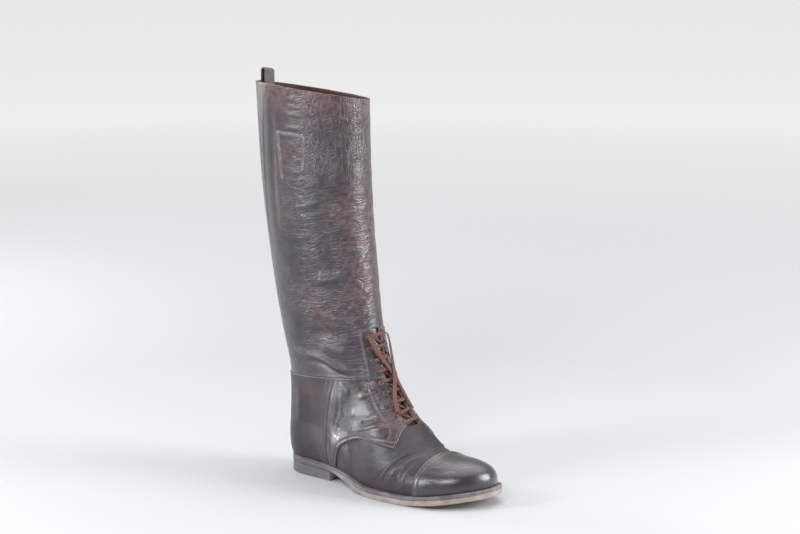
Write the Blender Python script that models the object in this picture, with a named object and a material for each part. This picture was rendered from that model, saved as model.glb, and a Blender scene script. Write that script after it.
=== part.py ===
"""Tall leather officer boot for the right foot, built on the shape of its last.

Lengths in the tables are millimetres, with x forward from the heel, y to the inner side and z up.
The finished pieces are in metres, with the middle of the footprint at the origin and the floor at z = 0.
"""
import bmesh
import bpy
import numpy as np
from mathutils import Vector
from mathutils.bvhtree import BVHTree

for old in list(bpy.data.objects):
    bpy.data.objects.remove(old, do_unlink=True)

MM = 0.001

# Wall and joints
WALL = 2.4
JOINT = 0.3

# Rings of the upper from the sole up to the collar: a row per ring, where it meets the back and the front
RINGS = np.array([
    # back_x, back_z, front_x, front_z
    [3.5, 20.5, 281.0, 22.0],
    [1.2, 29.0, 281.0, 28.5],
    [0.3, 37.0, 278.5, 35.5],
    [0.0, 45.0, 270.0, 42.0],
    [-0.3, 53.0, 251.0, 46.5],
    [-0.6, 61.0, 228.0, 48.5],
    [-0.9, 68.0, 207.0, 53.0],
    [-1.0, 73.0, 197.0, 61.5],
    [-1.2, 78.0, 187.5, 72.5],
    [-1.6, 90.0, 166.5, 92.0],
    [-2.4, 106.0, 147.0, 115.5],
    [-4.6, 124.0, 132.5, 141.0],
    [-9.6, 148.0, 124.5, 168.0],
    [-15.4, 182.0, 119.5, 199.0],
    [-20.5, 226.0, 116.0, 237.0],
    [-26.0, 290.0, 111.5, 291.0],
    [-31.5, 365.0, 110.0, 360.0],
    [-34.0, 442.0, 111.0, 434.0],
])

# Plan of the last: a row per station along the foot
FOOT = np.array([
    # x, centre_y, half_width, feather_z, fullness
    [0.0, 0.0, 31.0, 20.5, 2.0],
    [40.0, 0.0, 31.5, 20.0, 2.0],
    [78.0, -2.0, 30.5, 18.5, 2.0],
    [110.0, -5.5, 31.5, 15.6, 2.0],
    [140.0, -9.0, 38.5, 11.4, 2.1],
    [160.0, -8.5, 43.0, 10.2, 2.3],
    [200.0, -3.0, 47.2, 10.2, 2.3],
    [220.0, 0.0, 47.0, 11.4, 2.3],
    [245.0, 2.5, 46.0, 15.0, 2.5],
    [281.0, 7.0, 45.0, 22.0, 2.5],
])
HEEL_ROUND = 36.0
HEEL_POWER = 2.2
TOE_ROUND = 68.0
TOE_POWER = 2.4
TOE_TIP = 281.0
SIDE_BULGE = 2.0
SIDE_BULGE_HEIGHT = 40.0

# Rings over which the dip of the feather line fades out
SAG_RINGS = 9.0

# Leg at each height: it leans a little to the outer side
SHAFT = np.array([
    # z, centre_y, half_width
    [60.0, 0.0, 33.0],
    [100.0, 0.0, 36.5],
    [130.0, -0.4, 37.5],
    [160.0, -1.5, 39.5],
    [200.0, -3.6, 43.0],
    [250.0, -6.6, 46.5],
    [320.0, -10.8, 49.0],
    [450.0, -16.5, 50.0],
])
SHAFT_FULLNESS = 2.2
BLEND_LOW = 50.0
BLEND_HIGH = 130.0

# Collar: the outer side stands higher than the inner side
COLLAR_TILT = 7.5
COLLAR_TILT_FROM = 320.0

# Throat: half of the gap between the facings at each ring
THROAT = np.array([
    # ring, half_width
    [8.3, 9.5],
    [9.0, 8.0],
    [10.0, 6.5],
    [12.3, 5.0],
])
NORMAL_STEP = 0.01
THROAT_LOW = THROAT[0, 0]
THROAT_HIGH = THROAT[-1, 0]


def curve(at, knots, values):
    """Return the smooth curve through the knots that never overshoots between two of them."""
    knots = np.asarray(knots, float)
    values = np.asarray(values, float)
    step = np.diff(knots)
    rise = np.diff(values) / step
    product = rise[:-1] * rise[1:]
    total = np.where(product > 0, rise[:-1] + rise[1:], 1.0)
    slope = np.concatenate([rise[:1], np.where(product > 0, 2 * product / total, 0.0), rise[-1:]])
    at = np.clip(at, knots[0], knots[-1])
    place = np.clip(np.searchsorted(knots, at, side="right") - 1, 0, len(knots) - 2)
    s = (at - knots[place]) / step[place]
    keep = (1 + 2 * s) * (1 - s) ** 2
    reach = s * s * (3 - 2 * s)
    pull = s * (1 - s) ** 2 * step[place]
    push = s * s * (s - 1) * step[place]
    return (keep * values[place] + reach * values[place + 1]
            + pull * slope[place] + push * slope[place + 1])


def soft_step(s):
    """Rise smoothly from 0 to 1."""
    s = np.clip(s, 0.0, 1.0)
    return s * s * (3 - 2 * s)


RING_NUMBERS = np.arange(len(RINGS), dtype=float)
FINE = np.linspace(0, len(RINGS) - 1, 800)
FINE_BACK_X = curve(FINE, RING_NUMBERS, RINGS[:, 0])
FINE_BACK_Z = curve(FINE, RING_NUMBERS, RINGS[:, 1])
FINE_FRONT_X = curve(FINE, RING_NUMBERS, RINGS[:, 2])
FINE_FRONT_Z = curve(FINE, RING_NUMBERS, RINGS[:, 3])


def back_x(z):
    return np.interp(z, FINE_BACK_Z, FINE_BACK_X)


def front_x(z):
    return np.interp(z, FINE_FRONT_Z, FINE_FRONT_X)


def crest_z(x):
    """Return the height of the toe, instep and front of the leg above station x."""
    return np.interp(-np.asarray(x, float), -FINE_FRONT_X, FINE_FRONT_Z)


def feather_z(x):
    return curve(x, FOOT[:, 0], FOOT[:, 3])


def centre_y(x, z):
    """Return the middle line of the last, which straightens into the leg."""
    blend = soft_step((z - BLEND_LOW) / (BLEND_HIGH - BLEND_LOW))
    return curve(x, FOOT[:, 0], FOOT[:, 1]) * (1 - blend) + curve(z, SHAFT[:, 0], SHAFT[:, 1]) * blend


def half_width(x, z):
    """Return the half width of the upper: the foot's section below, the oval of the leg above."""
    floor = feather_z(x)
    rise = np.clip((z - floor) / np.maximum(crest_z(x) - floor, 1e-6), 0, 1)
    section = np.sqrt(1 - rise ** curve(x, FOOT[:, 0], FOOT[:, 4]))
    heel = np.sqrt(1 - (1 - np.clip((x - back_x(z)) / HEEL_ROUND, 0, 1)) ** HEEL_POWER)
    toe = np.sqrt(1 - (1 - np.clip((TOE_TIP - x) / TOE_ROUND, 0, 1)) ** TOE_POWER)
    bulge = SIDE_BULGE * np.sin(np.pi * np.clip((z - floor) / SIDE_BULGE_HEIGHT, 0, 1))
    foot = (curve(x, FOOT[:, 0], FOOT[:, 2]) + bulge) * section * heel * toe
    along = np.clip((x - back_x(z)) / np.maximum(front_x(z) - back_x(z), 1e-6), 0, 1)
    oval = np.sqrt(1 - np.abs(2 * along - 1) ** SHAFT_FULLNESS)
    leg = curve(z, SHAFT[:, 0], SHAFT[:, 2]) * oval
    blend = soft_step((z - BLEND_LOW) / (BLEND_HIGH - BLEND_LOW))
    return foot * (1 - blend) + leg * blend


def ring_line(ring, along):
    """Return x and z on a ring, from the back (along = 0) to the front (along = 1)."""
    back = curve(ring, RING_NUMBERS, RINGS[:, 0]), curve(ring, RING_NUMBERS, RINGS[:, 1])
    front = curve(ring, RING_NUMBERS, RINGS[:, 2]), curve(ring, RING_NUMBERS, RINGS[:, 3])
    share = (1 - np.cos(np.pi * along)) / 2
    x = back[0] + share * (front[0] - back[0])
    z = back[1] + share * (front[1] - back[1])
    base = RINGS[0, 1] + share * (RINGS[0, 3] - RINGS[0, 1])
    base_x = RINGS[0, 0] + share * (RINGS[0, 2] - RINGS[0, 0])
    sag = (feather_z(base_x) - base) * (1 - soft_step(ring / SAG_RINGS))
    return x, z + sag


def on_upper(ring, along, side):
    """Return the point of the upper's outside on a ring; side is -1 outer and 1 inner."""
    x, z = ring_line(ring, along)
    wide = side * half_width(x, z)
    tilt = COLLAR_TILT * soft_step((z - COLLAR_TILT_FROM) / (RINGS[-1, 1] - COLLAR_TILT_FROM))
    lift = -wide / SHAFT[-1, 2] * tilt
    return np.stack([x, centre_y(x, z) + wide, z + lift], axis=-1)


def along_at_width(ring, width):
    """Return how far along each ring the front has narrowed to the given half width."""
    tries = np.linspace(0.5, 1.0, 400)
    ring = np.asarray(ring, float)
    x, z = ring_line(ring[:, None], tries[None, :])
    wide = half_width(x, z)
    target = np.broadcast_to(width, ring.shape)
    falling = np.minimum.accumulate(wide, axis=1)
    return np.array([np.interp(-t, -row, tries) for t, row in zip(target, falling)])


def round_the_end(ring, along, side):
    """Return the point on a ring, where a step past the front or the back comes round to the other side."""
    past = (along < 0) | (along > 1)
    turned = np.where(along > 1, 2 - along, np.abs(along))
    return on_upper(ring, turned, np.where(past, -side, side))


def outward(ring, along, side):
    """Return the unit normal of the upper, worked out from two short steps on its surface."""
    ring, along, side = np.broadcast_arrays(np.asarray(ring, float), along, side)
    step = NORMAL_STEP
    up = (on_upper(np.minimum(ring + step, len(RINGS) - 1.0), along, side)
          - on_upper(np.maximum(ring - step, 0.0), along, side))
    forward = round_the_end(ring, along + step, side) - round_the_end(ring, along - step, side)
    normal = -side[..., None] * np.cross(forward, up)
    return normal / np.linalg.norm(normal, axis=-1, keepdims=True)


def lifted(ring, along, side, lift):
    """Return the point that stands a given distance off the upper."""
    ring, along, side = np.broadcast_arrays(np.asarray(ring, float), along, side)
    return on_upper(ring, along, side) + outward(ring, along, side) * np.asarray(lift)[..., None]


def along_at_x(ring, x):
    """Return how far along each ring the station x lies."""
    back = curve(ring, RING_NUMBERS, RINGS[:, 0])
    front = curve(ring, RING_NUMBERS, RINGS[:, 2])
    share = np.clip((x - back) / (front - back), 0, 1)
    return np.arccos(1 - 2 * share) / np.pi


def grid_faces(rows, columns, closed):
    """Return the quads of a grid of points, joined round the columns when closed."""
    a = np.arange(rows - 1)[:, None] * columns
    b = np.arange(columns if closed else columns - 1)[None, :]
    c = (b + 1) % columns
    return np.stack([a + b, a + c, a + columns + c, a + columns + b], axis=-1)


def add_object(name, points, faces, colour, roughness):
    """Make a mesh object with its own material from points in millimetres."""
    mesh = bpy.data.meshes.new(name)
    corners = [[int(c) for c in face] for face in faces]
    mesh.from_pydata((np.asarray(points).reshape(-1, 3) * MM).tolist(), [], corners)
    mesh.update()
    made = bpy.data.objects.new(name, mesh)
    bpy.context.scene.collection.objects.link(made)
    material = bpy.data.materials.new(name)
    material.use_nodes = True
    shader = material.node_tree.nodes["Principled BSDF"]
    shader.inputs["Base Color"].default_value = (*colour, 1.0)
    shader.inputs["Roughness"].default_value = roughness
    mesh.materials.append(material)
    return made


LEATHER = (0.085, 0.062, 0.062)


def halves(quads, points):
    """Return the quads cut into triangles along their shorter diagonals."""
    quads = quads.reshape(-1, 4)
    corners = points.reshape(-1, 3)[quads]
    first = np.linalg.norm(corners[:, 2] - corners[:, 0], axis=1)
    second = np.linalg.norm(corners[:, 3] - corners[:, 1], axis=1)
    turned = np.where((second < first)[:, None], np.roll(quads, -1, axis=1), quads)
    return np.concatenate([turned[:, [0, 1, 2]], turned[:, [0, 2, 3]]])


def build_shell(name, first, second, faces, colour, roughness):
    """Build a closed wall between two sheets of points that share the same triangles."""
    count = first.reshape(-1, 3).shape[0]
    edges = np.concatenate([faces[:, [k, (k + 1) % 3]] for k in range(3)])
    ordered = np.sort(edges, axis=1)
    _, where, times = np.unique(ordered, axis=0, return_inverse=True, return_counts=True)
    rim = edges[times[where.ravel()] == 1]
    points = np.concatenate([first.reshape(-1, 3), second.reshape(-1, 3)])
    walls = halves(np.stack([rim[:, 1], rim[:, 0], rim[:, 0] + count, rim[:, 1] + count], axis=1), points)
    faces = np.concatenate([faces, faces[:, ::-1] + count, walls])
    return tidy(add_object(name, points, faces, colour, roughness))


def build_wall(name, rings, along, side, closed, throat_columns):
    """Build a wall of the upper from its outside and a sheet inside it, without the quads in the throat."""
    ring, along, side = np.broadcast_arrays(rings[:, None], along, side)
    outside = on_upper(ring, along, side)
    inside = outside - WALL * outward(ring, along, side)
    faces = grid_faces(*ring.shape, closed)
    middle = (rings[:-1] + rings[1:]) / 2
    in_throat = (middle > THROAT_LOW) & (middle < THROAT_HIGH)
    keep = np.ones(faces.shape[:2], bool)
    keep[np.ix_(in_throat, throat_columns)] = False
    return build_shell(name, outside, inside, halves(faces[keep], outside), LEATHER, 0.45)


def over_the_front(start, edge, steps):
    """Return along and side for rows that run from start on the outer side over the front to the inner side.

    The columns take even steps up to the throat's edge, and two more up to the middle line.
    """
    rise = start + (edge - start) * np.linspace(0, 1, steps)[None, :]
    along = np.concatenate([rise, edge + (1 - edge) * np.array([[0.5, 1.0, 0.5]]), rise[:, ::-1]], axis=1)
    return along, np.where(np.arange(2 * steps + 3) < steps + 2, -1.0, 1.0)[None, :]


def build_upper():
    """Build the leg, and below the ankle seam the vamp and the back of the foot, which part under the counter."""
    rings = np.concatenate([np.linspace(ANKLE_RING + PARTING, THROAT_HIGH, 5)[:-1],
                            np.linspace(THROAT_HIGH, len(RINGS) - 1, 10)])
    edge = along_at_width(rings, curve(rings, THROAT[:, 0], THROAT[:, 1]))[:, None]
    along, side = over_the_front(0.0, edge, LEG_STEPS)
    leg = build_wall("leg", rings, along[:, :-1], side[:, :-1], True, LEG_STEPS - 1 + np.arange(4))

    rings = np.concatenate([np.linspace(0, THROAT_LOW, 16)[:-1],
                            np.linspace(THROAT_LOW, ANKLE_RING - PARTING, 5)])
    edge = along_at_width(rings, curve(rings, THROAT[:, 0], THROAT[:, 1]))[:, None]
    x, _ = ring_line(rings, counter_edge_along(rings))
    seam = along_at_x(rings, x - COUNTER_LAP)[:, None]
    along, side = over_the_front(seam + SEAM_GAP, edge, VAMP_STEPS)
    vamp = build_wall("vamp", rings, along, side, False, VAMP_STEPS - 1 + np.arange(4))
    along, side = both_sides((seam - SEAM_GAP) * np.linspace(1, 0, BACK_STEPS)[None, :])
    back = build_wall("back_part", rings, along, side, False, np.arange(0))
    return leg, vamp, back


# Sole: a row per station, from the back of the heel to the toe
SOLE = np.array([
    # x, reach, welt_thick, sole_thick
    [0.0, 1.2, 1.6, 5.6],
    [60.0, 1.2, 1.6, 5.6],
    [85.0, 1.8, 2.0, 5.6],
    [120.0, 4.0, 3.0, 7.0],
    [150.0, 6.0, 3.6, 6.0],
    [281.0, 6.0, 3.6, 6.0],
])
EDGE_BEVEL = 0.8
PLATE_STATIONS = 28
HEEL_BREAST = 80.0
HEEL_WEAR = 2.2
HEEL_WEAR_LENGTH = 30.0
HEEL_INSET = 0.2
INSOLE_THICK = 3.0
INSOLE_GAP = 0.7


def welt_top(x):
    return feather_z(x) - JOINT


def welt_bottom(x):
    return welt_top(x) - curve(x, SOLE[:, 0], SOLE[:, 2])


def sole_top(x):
    return welt_bottom(x) - JOINT


def sole_bottom(x):
    return sole_top(x) - curve(x, SOLE[:, 0], SOLE[:, 3])


def heel_bottom(x):
    """Return the floor of the heel, worn up at the back."""
    return HEEL_WEAR * np.clip(1 - x / HEEL_WEAR_LENGTH, 0, 1) ** 2


def build_plate(name, reach, top, bottom, last_x, colour, roughness):
    """Build a plate whose plan is the feather line moved out by reach, between two heights.

    The section at each station is a flat band with bevelled edges, and the plate ends at last_x.
    """
    last = along_at_x(0.0, last_x)
    along = last * np.linspace(0, 1, PLATE_STATIONS)
    x, z = ring_line(0.0, along)
    high = top(x)
    low = bottom(x)
    bevel = np.full_like(x, EDGE_BEVEL)
    corners = [(-bevel, high), (0 * bevel, high - bevel), (0 * bevel, low + bevel), (-bevel, low)]
    loop = []
    for side, order in ((-1.0, corners), (1.0, corners[::-1])):
        edge = on_upper(0.0, along, side)
        facing = outward(np.full_like(along, 0.0), along, np.full_like(along, side))
        facing[:, 2] = 0.0
        facing /= np.linalg.norm(facing, axis=1, keepdims=True)
        for inset, height in order:
            place = edge + facing * (reach(x) + inset)[:, None]
            place[:, 2] = height
            loop.append(place)
    points = np.stack(loop, axis=1)
    columns = points.shape[1]
    faces = grid_faces(len(along), columns, True).reshape(-1, 4).tolist()
    faces.append(list(range(columns))[::-1])
    faces.append([(len(along) - 1) * columns + c for c in range(columns)])
    return tidy(add_object(name, points, faces, colour, roughness))


def tidy(made):
    """Merge the points that fall together at the ends and face everything out."""
    shape = bmesh.new()
    shape.from_mesh(made.data)
    bmesh.ops.delete(shape, geom=[v for v in shape.verts if not v.link_faces], context="VERTS")
    bmesh.ops.remove_doubles(shape, verts=shape.verts, dist=2e-5)
    bmesh.ops.dissolve_degenerate(shape, edges=shape.edges, dist=1e-6)
    bmesh.ops.recalc_face_normals(shape, faces=shape.faces)
    shape.to_mesh(made.data)
    shape.free()
    return made


def reach_of(extra):
    """Return the overhang past the feather line along the foot, with an extra margin."""
    return lambda x: curve(x, SOLE[:, 0], SOLE[:, 1]) + extra


def build_sole():
    """Build the welt, the outsole, the heel block and the insole."""
    toe = RINGS[0, 2]
    build_plate("welt", reach_of(0.0), welt_top, welt_bottom, toe, (0.16, 0.12, 0.10), 0.6)
    build_plate("outsole", reach_of(0.0), sole_top, sole_bottom, toe, (0.19, 0.15, 0.12), 0.65)
    build_plate("heel", reach_of(-HEEL_INSET), lambda x: sole_bottom(x) - JOINT, heel_bottom, HEEL_BREAST,
                (0.14, 0.11, 0.09), 0.65)
    build_plate("insole", lambda x: 0 * x - WALL - INSOLE_GAP, lambda x: feather_z(x) + INSOLE_THICK,
                feather_z, toe, (0.38, 0.22, 0.12), 0.7)


def clear_of(points, normals, upper, side):
    """Move the points of a sheet off the upper's facets, in small steps, until no facet touches it.

    A side of 1 moves outward along the normals, and -1 moves inward.
    """
    graph = bpy.context.evaluated_depsgraph_get()
    trees = [BVHTree.FromObject(band, graph) for band in upper]
    facets = halves(grid_faces(*points.shape[:2], False), points)
    for _ in range(CLEAR_STEPS):
        tested = (points - side * normals * CLEAR_MARGIN).reshape(-1, 3) * MM
        sheet = BVHTree.FromPolygons(tested.tolist(), facets.tolist())
        touching = [mine for tree in trees for mine, _ in sheet.overlap(tree)]
        if not touching:
            break
        move = np.zeros(points.shape[0] * points.shape[1])
        move[facets[touching].ravel()] = CLEAR_STEP
        points = points + side * normals * move.reshape(points.shape[:2])[..., None]
    return points


def build_patch(name, ring, along, side, lift, thick, colour, roughness, upper):
    """Build a leather piece that follows the upper off its outside, or off its inside for a negative lift."""
    ring, along, side = np.broadcast_arrays(ring, along, side)
    normals = outward(ring, along, side)
    before = on_upper(ring, along, side) + normals * lift
    points = clear_of(before, normals, upper, np.sign(lift))
    faces = halves(grid_faces(*points.shape[:2], False), before)
    return build_shell(name, points, points + np.sign(lift) * thick * normals, faces, colour, roughness)


CLEAR_MARGIN = 0.2
CLEAR_STEP = 0.08
CLEAR_STEPS = 40
OVERLAY = 1.2
OVERLAY_LIFT = 0.3
ANKLE_RING = 10.4
PARTING = 0.009
COUNTER_LAP = 5.0
SEAM_GAP = 0.0005
LEG_STEPS = 19
VAMP_STEPS = 13
BACK_STEPS = 7
CAP_X = 218.0
FIRST_RING = 0.03

# Front edge of the counter, and lower edge of the quarters, in side view
COUNTER_EDGE = np.array([
    # z, x
    [18.0, 80.0],
    [37.0, 76.0],
    [70.0, 79.0],
    [105.0, 87.0],
    [125.0, 92.0],
])
QUARTER_EDGE = np.array([
    # x, z
    [92.0, 19.0],
    [96.0, 31.0],
    [104.0, 45.0],
    [118.0, 54.5],
    [139.0, 60.0],
    [164.0, 58.5],
    [184.0, 55.5],
])
QUARTER_FRONT_X = 184.0
QUARTER_BACK_GAP = 1.0
QUARTER_TAB_RINGS = 1.3


def both_sides(along):
    """Return along and side for a band that runs from the outer side over to the inner side."""
    whole = np.concatenate([along, along[:, -2::-1]], axis=1)
    side = np.where(np.arange(whole.shape[1]) < along.shape[1], -1.0, 1.0)
    return whole, np.broadcast_to(side, whole.shape)


def counter_edge_along(ring):
    """Return how far along each ring the counter's front edge lies."""
    along = along_at_x(ring, COUNTER_EDGE[2, 1])
    for _ in range(5):
        along = along_at_x(ring, curve(ring_line(ring, along)[1], COUNTER_EDGE[:, 0], COUNTER_EDGE[:, 1]))
    return along


def build_cap_and_counter(upper):
    """Build the toe cap, ahead of one line across the vamp, and the counter round the heel."""
    crest_ring = np.interp(-CAP_X, -FINE_FRONT_X, FINE)
    ring = np.linspace(FIRST_RING, crest_ring - FIRST_RING, 11)[:, None]
    start = along_at_x(ring, CAP_X)
    along, side = both_sides(start + (1 - start) * np.linspace(0, 1, 10)[None, :])
    build_patch("toe_cap", ring, along, side, OVERLAY_LIFT, OVERLAY, LEATHER, 0.35, upper)

    ring = np.linspace(FIRST_RING, ANKLE_RING, 10)[:, None]
    along, side = both_sides(counter_edge_along(ring) * np.linspace(1, 0, 10)[None, :])
    build_patch("counter", ring, along, side, OVERLAY_LIFT, OVERLAY, LEATHER, 0.4, upper)


def quarter_limits(ring):
    """Return how far along each ring a quarter starts, behind, and ends at the throat."""
    ring = np.asarray(ring, float)
    start = counter_edge_along(ring)
    x, _ = ring_line(ring, start)
    start = along_at_x(ring, x + QUARTER_BACK_GAP)
    flat = ring.ravel()
    throat = along_at_width(flat, curve(flat, THROAT[:, 0], THROAT[:, 1])).reshape(ring.shape)
    low_x, _ = ring_line(THROAT_LOW, along_at_width(np.array([THROAT_LOW]), THROAT[0, 1])[0])
    tab_x = low_x + (QUARTER_FRONT_X - low_x) * np.clip((THROAT_LOW - ring) / QUARTER_TAB_RINGS, 0, 1)
    end = np.where(ring < THROAT_LOW, np.minimum(along_at_x(ring, tab_x), throat), throat)
    return start, end


def build_quarter(name, side, upper):
    """Build a side piece from its curved lower edge up to the seam at the ankle."""
    across = np.linspace(0, 1, 15)
    tries = np.linspace(FIRST_RING, ANKLE_RING - 0.5, 240)
    start, end = quarter_limits(tries)
    x, z = ring_line(tries[:, None], start[:, None] + (end - start)[:, None] * across[None, :])
    above = z - curve(x, QUARTER_EDGE[:, 0], QUARTER_EDGE[:, 1])
    low = np.array([np.interp(0.0, np.maximum.accumulate(column), tries) for column in above.T])
    ring = low[None, :] + (ANKLE_RING - low)[None, :] * np.linspace(0, 1, 10)[:, None]
    start, end = quarter_limits(ring)
    along = start + (end - start) * across[None, :]
    build_patch(name, ring, along, np.full(ring.shape, side), OVERLAY_LIFT, OVERLAY, LEATHER, 0.4,
                upper)


TONGUE_HALF = 17.0
TONGUE_GAP = 0.5
TONGUE_THICK = 1.8
TONGUE_RINGS = (7.8, 12.8)


def at_throat(ring, y):
    """Return along and side for points a signed distance from the middle line of the throat."""
    ring, y = np.broadcast_arrays(np.asarray(ring, float), np.asarray(y, float))
    along = along_at_width(ring.ravel(), np.abs(y).ravel()).reshape(ring.shape)
    return along, np.where(y < 0, -1.0, 1.0)


def build_tongue(upper):
    """Build the tongue as a band that follows the inside of the upper behind the throat."""
    ring = np.linspace(*TONGUE_RINGS, 15)[:, None]
    along, side = at_throat(ring, TONGUE_HALF * np.linspace(-1, 1, 9)[None, :])
    ring = np.broadcast_to(ring, along.shape)
    build_patch("tongue", ring, along, side, -(WALL + TONGUE_GAP), TONGUE_THICK, LEATHER, 0.5, upper)


# Lace: a flat tape, nine bars across the throat joined by the strands that climb between them
LACE_WIDTH = 5.0
LACE_THICK = 1.3
LACE_LIFT = 2.15
STRAND_WIDTH = 3.5
STRAND_THICK = 0.8
STRAND_HALF = 3.5
BAR_COUNT = 9
BAR_HALF = 13.0
BAR_RINGS = (8.5, 12.1)
LACE_COLOUR = (0.20, 0.10, 0.065)

# Hanging ends of the lace from the top eyelets: a row per point down the front
END_OUTER = np.array([
    # ring, y, lift
    [12.12, -12.5, 4.4],
    [11.50, -8.0, 4.4],
    [10.95, -2.5, 4.4],
    [10.40, 2.5, 4.4],
    [9.90, 6.0, 4.4],
    [9.40, 8.0, 4.4],
    [8.90, 9.0, 4.4],
])
END_INNER = np.array([
    # ring, y, lift
    [12.12, 12.5, 6.4],
    [11.50, 10.0, 6.4],
    [10.95, 7.0, 6.4],
    [10.40, 2.5, 6.4],
    [9.90, -3.5, 6.4],
    [9.40, -8.5, 6.4],
    [8.80, -12.5, 6.4],
])


def tape(name, path, width, thick, colour):
    """Sweep a flat tape along rows of ring, y and lift of its middle."""
    along, side = at_throat(path[:, 0], path[:, 1])
    centre = lifted(path[:, 0], along, side, path[:, 2])
    up = outward(path[:, 0], along, side)
    run = np.gradient(centre, axis=0)
    run /= np.linalg.norm(run, axis=1, keepdims=True)
    across = np.cross(up, run)
    across /= np.linalg.norm(across, axis=1, keepdims=True)
    up = np.cross(run, across)
    corners = [(-0.5, -0.5), (0.5, -0.5), (0.5, 0.5), (-0.5, 0.5)]
    points = np.stack([centre + across * width * w + up * thick * t for w, t in corners], axis=1)
    faces = grid_faces(len(path), 4, True).reshape(-1, 4).tolist()
    last = 4 * (len(path) - 1)
    faces += [[3, 2, 1, 0], [last, last + 1, last + 2, last + 3]]
    return tidy(add_object(name, points, faces, colour, 0.8))


def resample(rows, count):
    """Return count rows on the smooth curve through the given rows."""
    numbers = np.arange(len(rows), dtype=float)
    at = np.linspace(0, len(rows) - 1, count)
    return np.stack([curve(at, numbers, column) for column in rows.T], axis=1)


def join(first, others):
    """Fuse overlapping solids into the first one."""
    for other in others:
        fuse = first.modifiers.new("fuse", "BOOLEAN")
        fuse.operation = "UNION"
        fuse.solver = "EXACT"
        fuse.object = other
        graph = bpy.context.evaluated_depsgraph_get()
        fused = bpy.data.meshes.new_from_object(first.evaluated_get(graph))
        first.modifiers.clear()
        first.data = fused
        bpy.data.objects.remove(other, do_unlink=True)
    return first


def build_laces():
    """Build the bars with their climbing strands as one solid, and the two hanging ends."""
    fine = np.linspace(*BAR_RINGS, 200)
    line = on_upper(fine, np.ones_like(fine), 1.0)
    length = np.concatenate([[0.0], np.cumsum(np.linalg.norm(np.diff(line, axis=0), axis=1))])
    rings = np.interp(np.linspace(0, length[-1], BAR_COUNT), length, fine)
    middle = LACE_LIFT + LACE_THICK / 2
    pieces = []
    for number, ring in enumerate(rings):
        y = np.linspace(-BAR_HALF, BAR_HALF, 7)
        path = np.stack([np.full_like(y, ring), y, np.full_like(y, middle)], axis=1)
        pieces.append(tape("lace_bars" if number == 0 else "bar", path, LACE_WIDTH, LACE_THICK, LACE_COLOUR))
    for low, high in zip(rings[:-1], rings[1:]):
        y = np.linspace(-STRAND_HALF, STRAND_HALF, 3)
        path = np.stack([np.linspace(low, high, 3), y, np.full_like(y, middle)], axis=1)
        pieces.append(tape("strand", path, STRAND_WIDTH, STRAND_THICK, LACE_COLOUR))
    join(pieces[0], pieces[1:])
    tape("lace_end_lateral", resample(END_OUTER, 19), LACE_WIDTH, LACE_THICK, LACE_COLOUR)
    tape("lace_end_medial", resample(END_INNER, 19), LACE_WIDTH, LACE_THICK, LACE_COLOUR)


# Pull loop at the back of the collar
LOOP_HALF = 10.0
LOOP_TO_OUTER_SIDE = 7.0
LOOP_THICK = 1.8
LOOP_RISE = 15.0
LOOP_DEPTH = 38.0
LOOP_BEND = 3.0
LOOP_GAP = 0.6


def build_pull_loop():
    """Build the strap: up inside the back of the collar, over, and down again further in."""
    rise = LOOP_RISE - LOOP_BEND - LOOP_THICK / 2
    bend = np.linspace(0, np.pi, 7)
    leg = np.array([-LOOP_DEPTH, -LOOP_DEPTH / 2, -2.0, rise / 2])
    inward = np.concatenate([0 * leg, LOOP_BEND * (1 - np.cos(bend)), 0 * leg + 2 * LOOP_BEND])
    height = np.concatenate([leg, rise + LOOP_BEND * np.sin(bend), leg[::-1]])
    across = LOOP_HALF * np.linspace(-1, 1, 5) - LOOP_TO_OUTER_SIDE
    top = len(RINGS) - 1.0
    below = np.minimum(height, 0.0)
    ring = np.interp(RINGS[-1, 1] + below, FINE_BACK_Z, FINE)
    inset = WALL + LOOP_GAP + LOOP_THICK / 2
    tries = np.linspace(0, 0.4, 200)
    rows = []
    for r, up, depth in zip(ring, np.maximum(height, 0.0), inward):
        x, z = ring_line(r, tries)
        along = np.interp(np.abs(across), half_width(x, z), tries)
        side = np.where(across < 0, -1.0, 1.0)
        row = lifted(np.full_like(across, min(r, top)), along, side, np.full_like(across, -inset))
        row[:, 0] += depth
        row[:, 2] += up
        rows.append(row)
    middle = np.stack(rows)
    run = np.gradient(middle, axis=0)
    wide = np.gradient(middle, axis=1)
    normal = np.cross(run, wide)
    normal *= LOOP_THICK / 2 / np.linalg.norm(normal, axis=-1, keepdims=True)
    faces = halves(grid_faces(*middle.shape[:2], False), middle)
    build_shell("pull_loop", middle + normal, middle - normal, faces, LEATHER, 0.5)


def settle():
    """Move everything so that the middle of the footprint box is the origin and the floor is z = 0."""
    graph = bpy.context.evaluated_depsgraph_get()
    made = [o for o in bpy.context.scene.objects if o.type == "MESH"]
    corners = np.array([c for o in made for c in o.evaluated_get(graph).bound_box])
    middle = (corners.min(axis=0) + corners.max(axis=0)) / 2
    move = np.array([-middle[0], -middle[1], -corners.min(axis=0)[2]])
    for o in made:
        for vertex in o.data.vertices:
            vertex.co = vertex.co + Vector(move)


boot_upper = build_upper()
build_sole()
build_cap_and_counter(boot_upper)
build_quarter("quarter_lateral", -1.0, boot_upper)
build_quarter("quarter_medial", 1.0, boot_upper)
build_tongue(boot_upper)
build_laces()
build_pull_loop()
settle()
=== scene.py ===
"""Looks of a worn officer boot: creased leather, seams, stitches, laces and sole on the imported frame.

Lengths are millimetres in the boot's own axes: x forward from the heel, y to the inner side, z up.
placed() turns them into metres in the frame's axes.
"""

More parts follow.
